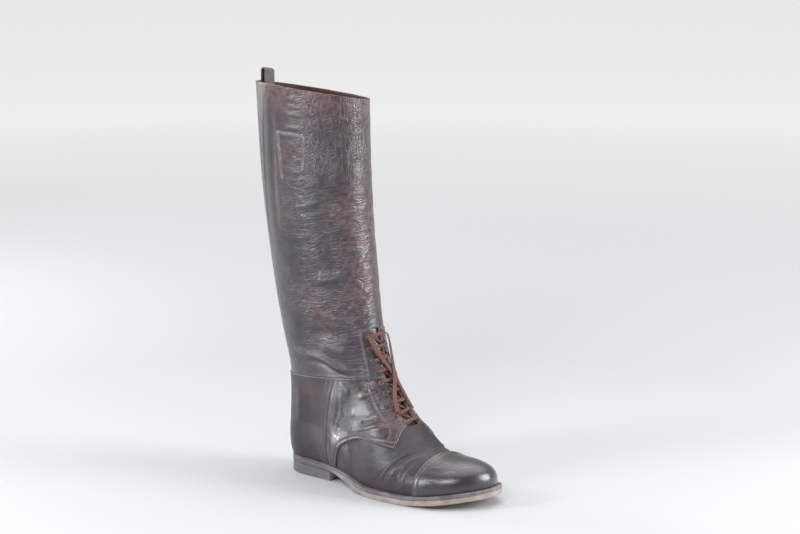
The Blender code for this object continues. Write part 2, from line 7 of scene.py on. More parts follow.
import bmesh
import bpy
import numpy as np
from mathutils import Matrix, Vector


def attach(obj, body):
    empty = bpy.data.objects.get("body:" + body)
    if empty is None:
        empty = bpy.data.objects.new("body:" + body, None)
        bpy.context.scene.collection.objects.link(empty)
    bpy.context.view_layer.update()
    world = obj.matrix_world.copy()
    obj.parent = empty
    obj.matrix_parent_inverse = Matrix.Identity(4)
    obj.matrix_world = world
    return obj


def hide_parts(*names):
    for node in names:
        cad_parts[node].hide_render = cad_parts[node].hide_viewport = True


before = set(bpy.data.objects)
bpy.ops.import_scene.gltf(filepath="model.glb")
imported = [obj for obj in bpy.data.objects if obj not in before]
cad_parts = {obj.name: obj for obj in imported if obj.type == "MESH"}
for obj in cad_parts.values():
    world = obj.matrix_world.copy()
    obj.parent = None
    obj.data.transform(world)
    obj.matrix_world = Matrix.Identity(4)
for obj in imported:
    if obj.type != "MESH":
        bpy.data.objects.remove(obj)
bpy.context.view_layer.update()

MM = 0.001
ORIGIN = np.array([126.5, -6.43, 0.0])
OUTER = -1.0
INNER = 1.0

# Form of the last and the leg, as in the solids
RINGS = np.array([
    # back_x, back_z, front_x, front_z
    [3.5, 20.5, 281.0, 22.0],
    [1.2, 29.0, 281.0, 28.5],
    [0.3, 37.0, 278.5, 35.5],
    [0.0, 45.0, 270.0, 42.0],
    [-0.3, 53.0, 251.0, 46.5],
    [-0.6, 61.0, 228.0, 48.5],
    [-0.9, 68.0, 207.0, 53.0],
    [-1.0, 73.0, 197.0, 61.5],
    [-1.2, 78.0, 187.5, 72.5],
    [-1.6, 90.0, 166.5, 92.0],
    [-2.4, 106.0, 147.0, 115.5],
    [-4.6, 124.0, 132.5, 141.0],
    [-9.6, 148.0, 124.5, 168.0],
    [-15.4, 182.0, 119.5, 199.0],
    [-20.5, 226.0, 116.0, 237.0],
    [-26.0, 290.0, 111.5, 291.0],
    [-31.5, 365.0, 110.0, 360.0],
    [-34.0, 442.0, 111.0, 434.0],
])
FOOT = np.array([
    # x, centre_y, half_width, feather_z, fullness
    [0.0, 0.0, 31.0, 20.5, 2.0],
    [40.0, 0.0, 31.5, 20.0, 2.0],
    [78.0, -2.0, 30.5, 18.5, 2.0],
    [110.0, -5.5, 31.5, 15.6, 2.0],
    [140.0, -9.0, 38.5, 11.4, 2.1],
    [160.0, -8.5, 43.0, 10.2, 2.3],
    [200.0, -3.0, 47.2, 10.2, 2.3],
    [220.0, 0.0, 47.0, 11.4, 2.3],
    [245.0, 2.5, 46.0, 15.0, 2.5],
    [281.0, 7.0, 45.0, 22.0, 2.5],
])
SHAFT = np.array([
    # z, centre_y, half_width
    [60.0, 0.0, 33.0],
    [100.0, 0.0, 36.5],
    [130.0, -0.4, 37.5],
    [160.0, -1.5, 39.5],
    [200.0, -3.6, 43.0],
    [250.0, -6.6, 46.5],
    [320.0, -10.8, 49.0],
    [450.0, -16.5, 50.0],
])
THROAT = np.array([
    # ring, half_width
    [8.3, 9.5],
    [9.0, 8.0],
    [10.0, 6.5],
    [12.3, 5.0],
])
SOLE = np.array([
    # x, reach, welt_thick, sole_thick
    [0.0, 1.2, 1.6, 5.6],
    [60.0, 1.2, 1.6, 5.6],
    [85.0, 1.8, 2.0, 5.6],
    [120.0, 4.0, 3.0, 7.0],
    [150.0, 6.0, 3.6, 6.0],
    [281.0, 6.0, 3.6, 6.0],
])
COUNTER_EDGE = np.array([
    # z, x
    [18.0, 80.0],
    [37.0, 76.0],
    [70.0, 79.0],
    [105.0, 87.0],
    [125.0, 92.0],
])
QUARTER_EDGE = np.array([
    # x, z
    [92.0, 19.0],
    [96.0, 31.0],
    [104.0, 45.0],
    [118.0, 54.5],
    [139.0, 60.0],
    [164.0, 58.5],
    [184.0, 55.5],
])
WALL = 2.4
JOINT = 0.3
HEEL_ROUND, HEEL_POWER = 36.0, 2.2
TOE_ROUND, TOE_POWER, TOE_TIP = 68.0, 2.4, 281.0
SIDE_BULGE, SIDE_BULGE_HEIGHT = 2.0, 40.0
SAG_RINGS = 9.0
SHAFT_FULLNESS = 2.2
BLEND_LOW, BLEND_HIGH = 50.0, 130.0
COLLAR_TILT, COLLAR_TILT_FROM = 7.5, 320.0
THROAT_LOW, THROAT_HIGH = THROAT[0, 0], THROAT[-1, 0]
TOP_RING = len(RINGS) - 1.0
ANKLE_RING = 10.4
CAP_X = 218.0
QUARTER_FRONT_X, QUARTER_BACK_GAP, QUARTER_TAB_RINGS = 184.0, 0.1, 1.3
TAB_MARGIN = 2.4
OVERLAY = 1.5
HEEL_BREAST = 80.0
HEEL_WEAR, HEEL_WEAR_LENGTH = 2.2, 30.0
NORMAL_STEP = 0.01


def curve(at, knots, values):
    """Smooth curve through the knots: cubic between two of them, with slopes that never overshoot."""
    knots = np.asarray(knots, float)
    values = np.asarray(values, float)
    step = np.diff(knots)
    rise = np.diff(values) / step
    product = rise[:-1] * rise[1:]
    total = np.where(product > 0, rise[:-1] + rise[1:], 1.0)
    slope = np.concatenate([rise[:1], np.where(product > 0, 2 * product / total, 0.0), rise[-1:]])
    at = np.clip(at, knots[0], knots[-1])
    place = np.clip(np.searchsorted(knots, at, side="right") - 1, 0, len(knots) - 2)
    s = (at - knots[place]) / step[place]
    keep = (1 + 2 * s) * (1 - s) ** 2
    reach = s * s * (3 - 2 * s)
    pull = s * (1 - s) ** 2 * step[place]
    push = s * s * (s - 1) * step[place]
    return (keep * values[place] + reach * values[place + 1]
            + pull * slope[place] + push * slope[place + 1])


def soft_step(s):
    """Rise from 0 to 1 as 3s^2 - 2s^3."""
    s = np.clip(s, 0.0, 1.0)
    return s * s * (3 - 2 * s)


def unit(vectors):
    """Vectors of length 1 along the given ones."""
    return vectors / np.maximum(np.linalg.norm(vectors, axis=-1, keepdims=True), 1e-9)


def lengths_along(line):
    """Length of a line from its start to each of its points."""
    return np.concatenate([[0.0], np.cumsum(np.linalg.norm(np.diff(line, axis=0), axis=1))])


RING_NUMBERS = np.arange(len(RINGS), dtype=float)
FINE = np.linspace(0, TOP_RING, 800)
FINE_BACK_X, FINE_BACK_Z, FINE_FRONT_X, FINE_FRONT_Z = (
    curve(FINE, RING_NUMBERS, column) for column in RINGS.T)


def back_x(z):
    """Back of the boot at a height."""
    return np.interp(z, FINE_BACK_Z, FINE_BACK_X)


def front_x(z):
    """Front of the boot at a height."""
    return np.interp(z, FINE_FRONT_Z, FINE_FRONT_X)


def crest_z(x):
    """Height of the toe, instep and front of the leg above a station."""
    return np.interp(-np.asarray(x, float), -FINE_FRONT_X, FINE_FRONT_Z)


def feather_z(x):
    """Height of the line where upper and welt meet."""
    return curve(x, FOOT[:, 0], FOOT[:, 3])


def leg_share(z):
    """Share of the leg's oval in the section at a height."""
    return soft_step((z - BLEND_LOW) / (BLEND_HIGH - BLEND_LOW))


def centre_y(x, z):
    """Middle line of the last, which straightens into the leg."""
    share = leg_share(z)
    return curve(x, FOOT[:, 0], FOOT[:, 1]) * (1 - share) + curve(z, SHAFT[:, 0], SHAFT[:, 1]) * share


def half_width(x, z):
    """Half width: sqrt(1 - rise^fullness) of the foot's section below, an oval of the leg above."""
    floor = feather_z(x)
    rise = np.clip((z - floor) / np.maximum(crest_z(x) - floor, 1e-6), 0, 1)
    section = np.sqrt(1 - rise ** curve(x, FOOT[:, 0], FOOT[:, 4]))
    heel = np.sqrt(1 - (1 - np.clip((x - back_x(z)) / HEEL_ROUND, 0, 1)) ** HEEL_POWER)
    toe = np.sqrt(1 - (1 - np.clip((TOE_TIP - x) / TOE_ROUND, 0, 1)) ** TOE_POWER)
    bulge = SIDE_BULGE * np.sin(np.pi * np.clip((z - floor) / SIDE_BULGE_HEIGHT, 0, 1))
    foot = (curve(x, FOOT[:, 0], FOOT[:, 2]) + bulge) * section * heel * toe
    along = np.clip((x - back_x(z)) / np.maximum(front_x(z) - back_x(z), 1e-6), 0, 1)
    oval = np.sqrt(1 - np.abs(2 * along - 1) ** SHAFT_FULLNESS)
    share = leg_share(z)
    return foot * (1 - share) + curve(z, SHAFT[:, 0], SHAFT[:, 2]) * oval * share


def ring_line(ring, along):
    """x and z on a ring, a cosine step from the back (along = 0) to the front (along = 1)."""
    back = curve(ring, RING_NUMBERS, RINGS[:, 0]), curve(ring, RING_NUMBERS, RINGS[:, 1])
    front = curve(ring, RING_NUMBERS, RINGS[:, 2]), curve(ring, RING_NUMBERS, RINGS[:, 3])
    share = (1 - np.cos(np.pi * along)) / 2
    base = RINGS[0, 1] + share * (RINGS[0, 3] - RINGS[0, 1])
    base_x = RINGS[0, 0] + share * (RINGS[0, 2] - RINGS[0, 0])
    sag = (feather_z(base_x) - base) * (1 - soft_step(ring / SAG_RINGS))
    return back[0] + share * (front[0] - back[0]), back[1] + share * (front[1] - back[1]) + sag


def on_side(x, z, side):
    """Point of the outside over the side view point (x, z): centre line plus side times half width."""
    wide = side * half_width(x, z)
    tilt = COLLAR_TILT * soft_step((z - COLLAR_TILT_FROM) / (RINGS[-1, 1] - COLLAR_TILT_FROM))
    return np.stack([x, centre_y(x, z) + wide, z - wide / SHAFT[-1, 2] * tilt], axis=-1)


def on_upper(ring, along, side):
    """Point of the outside on a ring."""
    return on_side(*ring_line(ring, along), side)


def round_the_end(ring, along, side):
    """Point on a ring, where a step past the front or the back comes round to the other side."""
    past = (along < 0) | (along > 1)
    turned = np.where(along > 1, 2 - along, np.abs(along))
    return on_upper(ring, turned, np.where(past, -side, side))


def outward(ring, along, side):
    """Unit normal: the cross product of two short steps on the surface."""
    ring, along, side = np.broadcast_arrays(np.asarray(ring, float), along, side)
    up = (on_upper(np.minimum(ring + NORMAL_STEP, TOP_RING), along, side)
          - on_upper(np.maximum(ring - NORMAL_STEP, 0.0), along, side))
    forward = round_the_end(ring, along + NORMAL_STEP, side) - round_the_end(ring, along - NORMAL_STEP, side)
    return unit(-side[..., None] * np.cross(forward, up))


def along_at_x(ring, x):
    """How far along each ring the station x lies: the cosine step turned round."""
    back = curve(ring, RING_NUMBERS, RINGS[:, 0])
    front = curve(ring, RING_NUMBERS, RINGS[:, 2])
    return np.arccos(1 - 2 * np.clip((x - back) / (front - back), 0, 1)) / np.pi


def along_at_width(ring, width):
    """How far along each ring the front has narrowed to a half width."""
    tries = np.linspace(0.5, 1.0, 400)
    ring = np.asarray(ring, float)
    falling = np.minimum.accumulate(half_width(*ring_line(ring[:, None], tries[None, :])), axis=1)
    target = np.broadcast_to(width, ring.shape)
    return np.array([np.interp(-t, -row, tries) for t, row in zip(target, falling)])


def counter_edge_along(ring):
    """How far along each ring the counter's front edge lies, found by repeated steps."""
    along = along_at_x(ring, COUNTER_EDGE[2, 1])
    for _ in range(5):
        along = along_at_x(ring, curve(ring_line(ring, along)[1], COUNTER_EDGE[:, 0], COUNTER_EDGE[:, 1]))
    return along


def quarter_limits(ring):
    """How far along each ring a quarter starts, behind, and ends at the throat or at its front tab."""
    ring = np.asarray(ring, float)
    x, _ = ring_line(ring, counter_edge_along(ring))
    start = along_at_x(ring, x + QUARTER_BACK_GAP)
    flat = ring.ravel()
    throat = along_at_width(flat, curve(flat, THROAT[:, 0], THROAT[:, 1])).reshape(ring.shape)
    low_x, _ = ring_line(THROAT_LOW, along_at_width(np.array([THROAT_LOW]), THROAT[0, 1])[0])
    tab_x = low_x + (QUARTER_FRONT_X - low_x) * np.clip((THROAT_LOW - ring) / QUARTER_TAB_RINGS, 0, 1)
    return start, np.where(ring < THROAT_LOW, np.minimum(along_at_x(ring, tab_x), throat), throat)


def at_throat(ring, y):
    """along and side of points a signed distance from the middle line of the throat."""
    ring, y = np.broadcast_arrays(np.asarray(ring, float), np.asarray(y, float))
    along = along_at_width(ring.ravel(), np.abs(y).ravel()).reshape(ring.shape)
    return along, np.where(y < 0, OUTER, INNER)


# Folds of the leather: soft ridges (height over 0) and troughs (under 0) along lines in side view
FOLDS = (
    # sides, height, half width, points x z
    # ankle: the lip of the big fold, the hollow under it and the pouch above
    ((OUTER,), 4.0, 2.9,
     ((20, 147), (40, 146), (55, 144), (69, 143), (83, 139), (93, 134), (106, 130.5), (118, 131))),
    ((OUTER,), -2.0, 2.8, ((48, 137), (69, 136), (85, 131), (95, 127), (107, 124.5), (120, 125))),
    ((OUTER,), 2.6, 10.0, ((70, 160), (92, 156), (112, 154))),
    ((OUTER,), -1.0, 5.0, ((52, 168), (80, 171), (108, 172))),
    ((INNER,), 2.2, 4.0, ((20, 143), (50, 141), (75, 137), (95, 132), (112, 131))),
    ((INNER,), -1.6, 3.6, ((25, 134), (55, 132), (80, 128), (100, 124), (114, 125))),
    ((INNER,), 1.6, 11.0, ((60, 160), (85, 155), (108, 153))),
    # leg: the long folds of the calf
    ((OUTER,), 2.8, 4.8, ((66, 229), (74, 230.5), (84, 233), (95, 236), (102, 239), (107, 241.5))),
    ((OUTER,), -1.3, 5.0, ((70, 242), (85, 245), (98, 249))),
    ((OUTER,), -0.9, 4.0, ((62, 222), (80, 224), (98, 227))),
    ((OUTER,), 1.3, 2.6, ((104, 250), (110, 252), (113, 255), (114, 258))),
    ((OUTER,), 1.0, 3.0, ((50, 309), (62, 314), (76, 319), (93, 325))),
    ((OUTER,), -0.8, 3.4, ((52, 302), (66, 307), (86, 313))),
    ((OUTER,), 0.9, 2.2, ((106, 233), (112, 229), (116, 221), (118, 213))),
    ((OUTER,), -1.0, 3.2, ((96, 203), (106, 205), (117, 206))),
    ((OUTER,), 0.9, 4.0, ((70, 192), (92, 190), (112, 188))),
    ((OUTER,), -0.7, 4.5, ((36, 268), (60, 272), (84, 270), (104, 274))),
    ((OUTER,), 0.7, 3.0, ((44, 342), (66, 339), (90, 343))),
    ((OUTER,), 0.9, 1.9, ((40, 352), (56, 351), (72, 353))),
    ((OUTER,), 0.9, 1.8, ((40, 425), (54, 427), (66, 425))),
    ((OUTER,), 0.8, 1.7, ((44, 417), (56, 418), (67, 417))),
    ((OUTER,), 0.9, 1.9, ((38, 408), (54, 410), (67, 408))),
    ((OUTER,), 1.0, 2.0, ((34, 393), (50, 396), (68, 394))),
    ((INNER,), 1.4, 4.0, ((30, 236), (58, 232), (84, 235), (104, 240))),
    ((INNER,), -1.1, 4.0, ((34, 246), (62, 243), (96, 249))),
    ((INNER,), 1.0, 3.5, ((40, 206), (70, 202), (104, 207))),
    ((INNER,), -0.9, 4.0, ((30, 300), (60, 296), (96, 301))),
    ((INNER,), 1.0, 3.2, ((36, 318), (64, 321), (94, 318))),
    # back of the leg: the strip beside the back seam and its soft edge
    ((OUTER, INNER), 0.9, 2.0, ((2, 440), (3, 420), (0, 371), (-1, 325), (0, 279), (4, 240))),
    ((OUTER, INNER), -0.9, 5.0, ((21, 436), (21, 390), (20, 340), (21, 300), (26, 262))),
    # counter: soft hollows of wear
    ((OUTER, INNER), 0.7, 8.0, ((30, 112), (27, 80), (30, 48))),
    ((OUTER, INNER), -0.6, 7.0, ((52, 108), (48, 80), (50, 50))),
    # quarter: pulls between counter, laces and vamp
    ((OUTER,), 1.2, 2.4, ((97, 119), (103, 113), (113, 103))),
    ((OUTER, INNER), 2.2, 13.0, ((91, 114), (87, 90), (83, 66), (81, 42))),
    ((OUTER, INNER), 3.0, 17.0, ((80, 47), (97, 49), (112, 54))),
    ((OUTER,), 1.3, 1.9, ((101, 112), (102, 90), (97, 72), (91, 54))),
    ((OUTER,), 1.2, 1.6, ((93, 110), (94, 92), (90, 74), (86, 58))),
    ((OUTER,), -0.9, 3.0, ((114, 92), (110, 74), (104, 58))),
    ((OUTER,), 1.1, 3.0, ((106, 80), (116, 83), (125, 87))),
    ((OUTER,), 1.0, 2.6, ((112, 62), (128, 67), (147, 74), (166, 81))),
    ((OUTER,), -0.8, 3.0, ((120, 75), (138, 81), (154, 87))),
    ((OUTER,), 0.9, 2.6, ((122, 102), (130, 106), (141, 112))),
    ((OUTER,), 0.9, 4.0, ((146, 101), (152, 98), (157, 94))),
    ((INNER,), 1.3, 3.4, ((103, 104), (104, 86), (95, 58))),
    ((INNER,), 1.0, 3.0, ((112, 64), (140, 72), (162, 82))),
    # vamp: the rolls where the foot bends
    ((OUTER, INNER), -1.1, 1.3,
     ((179, 16), (181, 22), (183, 29), (187, 37), (194, 45), (201, 51), (206, 53))),
    ((OUTER, INNER), 0.75, 1.6, ((174, 16), (177, 23), (180, 31), (185, 40), (192, 48), (198, 55))),
    ((OUTER, INNER), 0.6, 1.5, ((186, 14), (188, 22), (190, 29), (195, 37), (203, 46), (212, 51))),
    ((OUTER, INNER), -0.7, 1.3, ((165, 15), (171, 23), (178, 32), (186, 42), (191, 48))),
    ((OUTER, INNER), -0.55, 1.2, ((203, 16), (198, 24), (197, 31), (202, 40))),
    ((OUTER, INNER), 0.6, 1.6, ((209, 15), (205, 26), (206, 36), (211, 44))),
)

# Soft patches where the finish has worn to red
RED_PATCHES = np.array([
    # x, z, radius, strength
    [99.0, 315.0, 15.0, 0.8],
    [108.0, 296.0, 14.0, 0.8],
    [49.0, 366.0, 18.0, 0.7],
    [30.0, 350.0, 14.0, 0.5],
    [52.0, 436.0, 26.0, 0.9],
    [84.0, 434.0, 20.0, 0.8],
    [74.0, 206.0, 18.0, 0.5],
    [84.0, 190.0, 20.0, 0.5],
    [114.0, 214.0, 12.0, 0.9],
    [112.0, 270.0, 12.0, 0.8],
    [113.0, 242.0, 12.0, 0.8],
    [20.0, 300.0, 22.0, 0.4],
    [168.0, 76.0, 13.0, 0.9],
    [160.0, 84.0, 10.0, 0.6],
    [46.0, 104.0, 16.0, 0.6],
    [150.0, 62.0, 9.0, 0.5],
    [128.0, 108.0, 12.0, 0.5],
])

# Scratches on the outer side of the toe cap
SCRATCHES = (
    # points x z
    ((227, 38), (233, 41.5), (241, 42)),
    ((257, 41), (262, 43), (268, 42)),
    ((247, 36.5), (252, 39), (259, 39.5)),
    ((236, 30), (241, 31), (247, 30.5)),
)

# Share of its length over which a fold, its worn crest with painted highlight or a scratch fades at each end
FOLD_FADE, CREST_FADE, SCRATCH_FADE = 0.3, 0.4, 0.3
# Light wear and painted highlight on a crest, and its half width as a share of the fold's or at least so much
CREST_WEAR_AND_SHEEN, CREST_SHARE, CREST_LEAST = 0.42, 0.4, 1.0
SCRATCH_WEAR, SCRATCH_HALF = 0.9, 0.6

# Stitch rows: height, half width, light wear with painted highlight
FOOT_ROW = (0.5, 0.95, 0.75)
LEG_ROW = (0.8, 1.5, 0.9)
STRAP_ROW = (0.8, 1.5, 1.45)
# Half width of the wear and painted highlight on a row, as a share of the row's own
ROW_WEAR_AND_SHEEN_SHARE = 0.95
# Bead of the ankle seam, its light wear with painted highlight, and how far from the middle of the throat it
# ends
BEAD_HEIGHT, BEAD_HALF = 0.9, 1.4
BEAD_SHEEN_WEAR, BEAD_SHEEN_WEAR_HALF = 0.75, 1.1
ANKLE_SEAM_END = 6.2
# Distances of the rows from the edges that they follow, and where the rows end
COUNTER_ROWS, COUNTER_ROW_Z = (-8.5, -1.8, 4.6), (20.0, 121.0)
QUARTER_ROWS, QUARTER_ROW_STOP = (1.6, 5.8), 1.5
CAP_ROWS = (1.8, 5.6)
TAB_ROW_RINGS = 0.3
# Stitch row beside the eyelets, below and above the ankle seam, and the strap stitched inside the leg
EYESTAY = ((131, 117), (135, 110), (147, 95), (160, 83), (170, 74), (174, 68), (174, 64))
EYESTAY_HIGH = ((121, 178), (116, 174), (118, 162), (122, 146), (127, 131), (130, 122))
STRAP_STITCHING = (
    ((31, 389), (33, 366), (35, 344)),
    ((67.5, 388), (66.5, 373), (65, 357)),
    ((31, 390), (49, 389), (67.5, 388)),
)

# Fine creases: seed, lengths and tilt of each set of waves, and how high they stand
WRINKLE_WAVES = 26
FINE_CREASES = (3, (5.0, 11.0), 0.22)
BROAD_CREASES = (5, (16.0, 34.0), 0.35)
CREASED_PATCHES = (8, (30.0, 60.0), 0.8)
FINE_HEIGHT, FINE_HALF, BROAD_HEIGHT = 0.24, 0.35, 0.15
# Share of fine creases between their patches, the wave sum where a patch starts and how soon it is full
PATCH_LEAST, PATCH_FROM, PATCH_RISE = 0.35, -0.6, 1.4
# Where the creases start on the leg, thin out under the collar, stop at the back and show faintly lower
CREASED_FROM, CREASED_RISE = 165.0, 40.0
COLLAR_FROM, COLLAR_RISE, COLLAR_LESS = 330.0, 60.0, 0.55
BACK_FROM, BACK_RISE = 12.0, 16.0
FAINT_FROM, FAINT_RISE, FAINT_SHARE = 118.0, 20.0, 0.35

# Red under the collar's rim, which is lower on the inner side, and along the front edge of the leg
RED_RIM, RED_RIM_TILT, RED_BAND = 436.0, 8.0, 34.0
RED_FRONT, RED_FRONT_WIDTH, RED_FRONT_FROM, RED_FRONT_RISE = 0.5, 9.0, 185.0, 20.0


def side_line(points, side, count=24):
    """Points on the outside under a line in side view, read evenly from the curve through its points."""
    points = np.asarray(points, float)
    numbers = np.arange(len(points), dtype=float)
    at = np.linspace(0, len(points) - 1, count)
    return on_side(curve(at, numbers, points[:, 0]), curve(at, numbers, points[:, 1]), side)


def distance_to(points, line):
    """Distance of each point from a line in space, and how far along the line it is nearest, from 0 to 1."""
    start = line[:-1]
    run = line[1:] - start
    length = np.maximum(np.linalg.norm(run, axis=1), 1e-9)
    before = np.concatenate([[0.0], np.cumsum(length)])
    offset = points[:, None, :] - start[None]
    t = np.clip((offset * run[None]).sum(-1) / length ** 2, 0, 1)
    gap = np.linalg.norm(offset - t[..., None] * run[None], axis=-1)
    nearest = gap.argmin(axis=1)
    rows = np.arange(len(points))
    return gap[rows, nearest], (before[nearest] + t[rows, nearest] * length[nearest]) / before[-1]


def ridge(points, line, height, half, fade):
    """Relief of one ridge: height times exp(-(distance/half)^2), fading over a share of its length."""
    reach = 3 * half
    near = np.all((points > line.min(axis=0) - reach) & (points < line.max(axis=0) + reach), axis=1)
    made = np.zeros(len(points))
    if near.any():
        gap, at = distance_to(points[near], line)
        ends = soft_step(np.minimum(at, 1 - at) / fade) if fade > 0 else 1.0
        made[near] = height * np.exp(-(gap / half) ** 2) * ends
    return made


def waves(points, seed, lengths, flatness):
    """Sum of sine waves in random directions: lengths are those up the leg, flatness is their tilt."""
    dice = np.random.default_rng(seed)
    length = dice.uniform(*lengths, WRINKLE_WAVES)
    lean = dice.normal(0, flatness, (WRINKLE_WAVES, 2))
    phase = dice.uniform(0, 2 * np.pi, WRINKLE_WAVES)
    steps = 2 * np.pi / length[:, None] * np.column_stack([lean, np.ones(WRINKLE_WAVES)])
    total = np.zeros(len(points))
    for step, start in zip(steps, phase):
        total += np.sin(points @ step + start)
    return total / np.sqrt(WRINKLE_WAVES / 2)


def wrinkles(points):
    """Fine creases: thin crests where a wave sum crosses zero, strongest on the middle of the leg."""
    x, _, z = points.T
    fine = np.exp(-(waves(points, *FINE_CREASES) / FINE_HALF) ** 2)
    broad = waves(points, *BROAD_CREASES)
    patchy = soft_step((waves(points, *CREASED_PATCHES) - PATCH_FROM) / PATCH_RISE)
    patchy = PATCH_LEAST + (1 - PATCH_LEAST) * patchy
    leg = soft_step((z - CREASED_FROM) / CREASED_RISE)
    collar = 1 - COLLAR_LESS * soft_step((z - COLLAR_FROM) / COLLAR_RISE)
    where = leg * collar * soft_step((x - BACK_FROM) / BACK_RISE)
    low = FAINT_SHARE * soft_step((z - FAINT_FROM) / FAINT_RISE) * (1 - leg)
    return (FINE_HEIGHT * fine * patchy + BROAD_HEIGHT * broad) * (where + low)


def seam_lines():
    """Raised stitch rows: points in space, the lift of the leather under them and the row's own sizes."""
    counter_z = np.linspace(*COUNTER_ROW_Z, 30)
    counter_x = curve(counter_z, COUNTER_EDGE[:, 0], COUNTER_EDGE[:, 1])
    x = np.linspace(QUARTER_EDGE[0, 0], QUARTER_EDGE[-1, 0] - QUARTER_ROW_STOP, 80)
    edge = np.stack([x, curve(x, QUARTER_EDGE[:, 0], QUARTER_EDGE[:, 1])], axis=1)
    run = unit(np.gradient(edge, axis=0))
    across = np.stack([-run[:, 1], run[:, 0]], axis=1)
    ring = np.linspace(THROAT_LOW - QUARTER_TAB_RINGS, THROAT_LOW + TAB_ROW_RINGS, 30)
    tab_x, tab_z = ring_line(ring, quarter_limits(ring)[1])
    rows = []
    for side in (OUTER, INNER):
        for offset in COUNTER_ROWS:
            rows.append((on_side(counter_x + offset, counter_z, side), OVERLAY, FOOT_ROW))
        for offset in QUARTER_ROWS:
            row_x, row_z = (edge + offset * across).T
            rows.append((on_side(row_x, row_z, side), OVERLAY, FOOT_ROW))
        rows.append((side_line(EYESTAY, side, 60), OVERLAY, FOOT_ROW))
        rows.append((on_side(tab_x - TAB_MARGIN, tab_z, side), OVERLAY, FOOT_ROW))
        rows.append((side_line(EYESTAY_HIGH, side, 40), 0.0, LEG_ROW))
        for line in STRAP_STITCHING:
            rows.append((side_line(line, side, 20), 0.0, STRAP_ROW))
    for margin in CAP_ROWS:
        rows.append((section_line(CAP_X + margin, 60), OVERLAY, FOOT_ROW))
    return rows


def section_line(x, count):
    """Line straight across the toe at a station, from one feather line over the crest to the other."""
    return section_points(np.full(count, x), np.linspace(-1, 1, count))


def section_points(x, t):
    """Point of the section at station x, its height the sine of a turn from feather line to crest.

    t runs from -1 at the outer feather line over 0 at the crest to 1 at the inner one.
    """
    floor = feather_z(x)
    z = floor + (crest_z(x) - floor) * np.sin(np.pi / 2 * (1 - np.abs(t)))
    return on_side(x, z, np.where(t < 0, OUTER, INNER))


def ankle_line(side):
    """Line of the ankle seam on one side, from the back to the throat."""
    throat = along_at_width(np.array([ANKLE_RING]), ANKLE_SEAM_END)[0]
    return on_upper(np.full(40, ANKLE_RING), np.linspace(0, throat, 40), side)


SEAMS = seam_lines()
ANKLE_SEAM = np.concatenate([ankle_line(OUTER)[::-1], ankle_line(INNER)[1:]])


def relief(points):
    """How far the leather stands off the plain form: folds, wrinkles, stitch rows and the ankle's bead."""
    made = wrinkles(points)
    for sides, height, half, line in FOLDS:
        for side in sides:
            made += ridge(points, side_line(line, side), height, half, FOLD_FADE)
    for line, _, (height, half, _) in SEAMS:
        made += ridge(points, line, height, half, 0.0)
    return made + ridge(points, ANKLE_SEAM, BEAD_HEIGHT, BEAD_HALF, 0.0)


def redness(points):
    """Share of worn red: soft round patches, a band under the collar and the front edge of the leg."""
    x, y, z = points.T
    gaps = np.linalg.norm(points[:, None, ::2] - RED_PATCHES[None, :, :2], axis=-1) / RED_PATCHES[None, :, 2]
    patches = (RED_PATCHES[None, :, 3] * np.exp(-gaps ** 2)).sum(axis=1)
    rim = RED_RIM - RED_RIM_TILT * y / SHAFT[-1, 2]
    collar = soft_step(1 - (rim - z) / RED_BAND)
    front = RED_FRONT * soft_step(1 - (front_x(z) - x) / RED_FRONT_WIDTH)
    front = front * soft_step((z - RED_FRONT_FROM) / RED_FRONT_RISE)
    return np.clip(patches + np.maximum(collar, front), 0, 1)


def worn(points):
    """Share of light wear on the toe's scratches, and of wear with painted highlight on stitch rows, the
    ankle's bead and fold crests.
    """
    # Ankle bead and stitch rows: light wear with painted highlight
    made = ridge(points, ANKLE_SEAM, BEAD_SHEEN_WEAR, BEAD_SHEEN_WEAR_HALF, 0.0)
    for line, _, (_, half, wear) in SEAMS:
        made = np.maximum(made, ridge(points, line, wear, ROW_WEAR_AND_SHEEN_SHARE * half, 0.0))
    # Crests of raised folds: light wear with painted highlight
    for sides, height, half, line in FOLDS:
        crest = max(CREST_SHARE * half, CREST_LEAST)
        for side in sides if height > 0 else ():
            made = np.maximum(made, ridge(points, side_line(line, side), CREST_WEAR_AND_SHEEN, crest, CREST_FADE))
    for scratch in SCRATCHES:
        line = side_line(scratch, OUTER)
        made = np.maximum(made, ridge(points, line, SCRATCH_WEAR, SCRATCH_HALF, SCRATCH_FADE))
    return made


def placed(points):
    """Millimetres in the boot's axes turned into metres in the frame's axes."""
    return (np.asarray(points, float) - ORIGIN) * MM


def grid_faces(rows, columns, closed):
    """Quads of a grid of points, joined round the columns when closed."""
    a = np.arange(rows - 1)[:, None] * columns
    b = np.arange(columns if closed else columns - 1)[None, :]
    c = (b + 1) % columns
    return np.stack([a + b, a + c, a + columns + c, a + columns + b], axis=-1)


def add_piece(name, points, faces, materials, stands_for=(), kinds=None, values=None, uv=None):
    """Smooth mesh on the boot from points in millimetres, with its materials, attributes and UV map."""
    mesh = bpy.data.meshes.new(name)
    mesh.from_pydata(placed(points).tolist(), [], [list(face) for face in faces])
    for material in materials:
        mesh.materials.append(material)
    mesh.polygons.foreach_set("use_smooth", np.ones(len(mesh.polygons), bool))
    if kinds is not None:
        mesh.polygons.foreach_set("material_index", np.asarray(kinds, np.int32))
    for key, value in (values or {}).items():
        layer = mesh.attributes.new(key, "FLOAT", "POINT")
        layer.data.foreach_set("value", np.asarray(value, np.float32).ravel())
    if uv is not None:
        corners = np.empty(len(mesh.loops), np.int32)
        mesh.loops.foreach_get("vertex_index", corners)
        mesh.uv_layers.new(name="UVMap").data.foreach_set("uv", np.asarray(uv, np.float32)[corners].ravel())
    mesh.update()
    made = bpy.data.objects.new(name, mesh)
    bpy.context.scene.collection.objects.link(made)
    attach(made, "root")
    if stands_for:
        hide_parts(*stands_for)
    return made


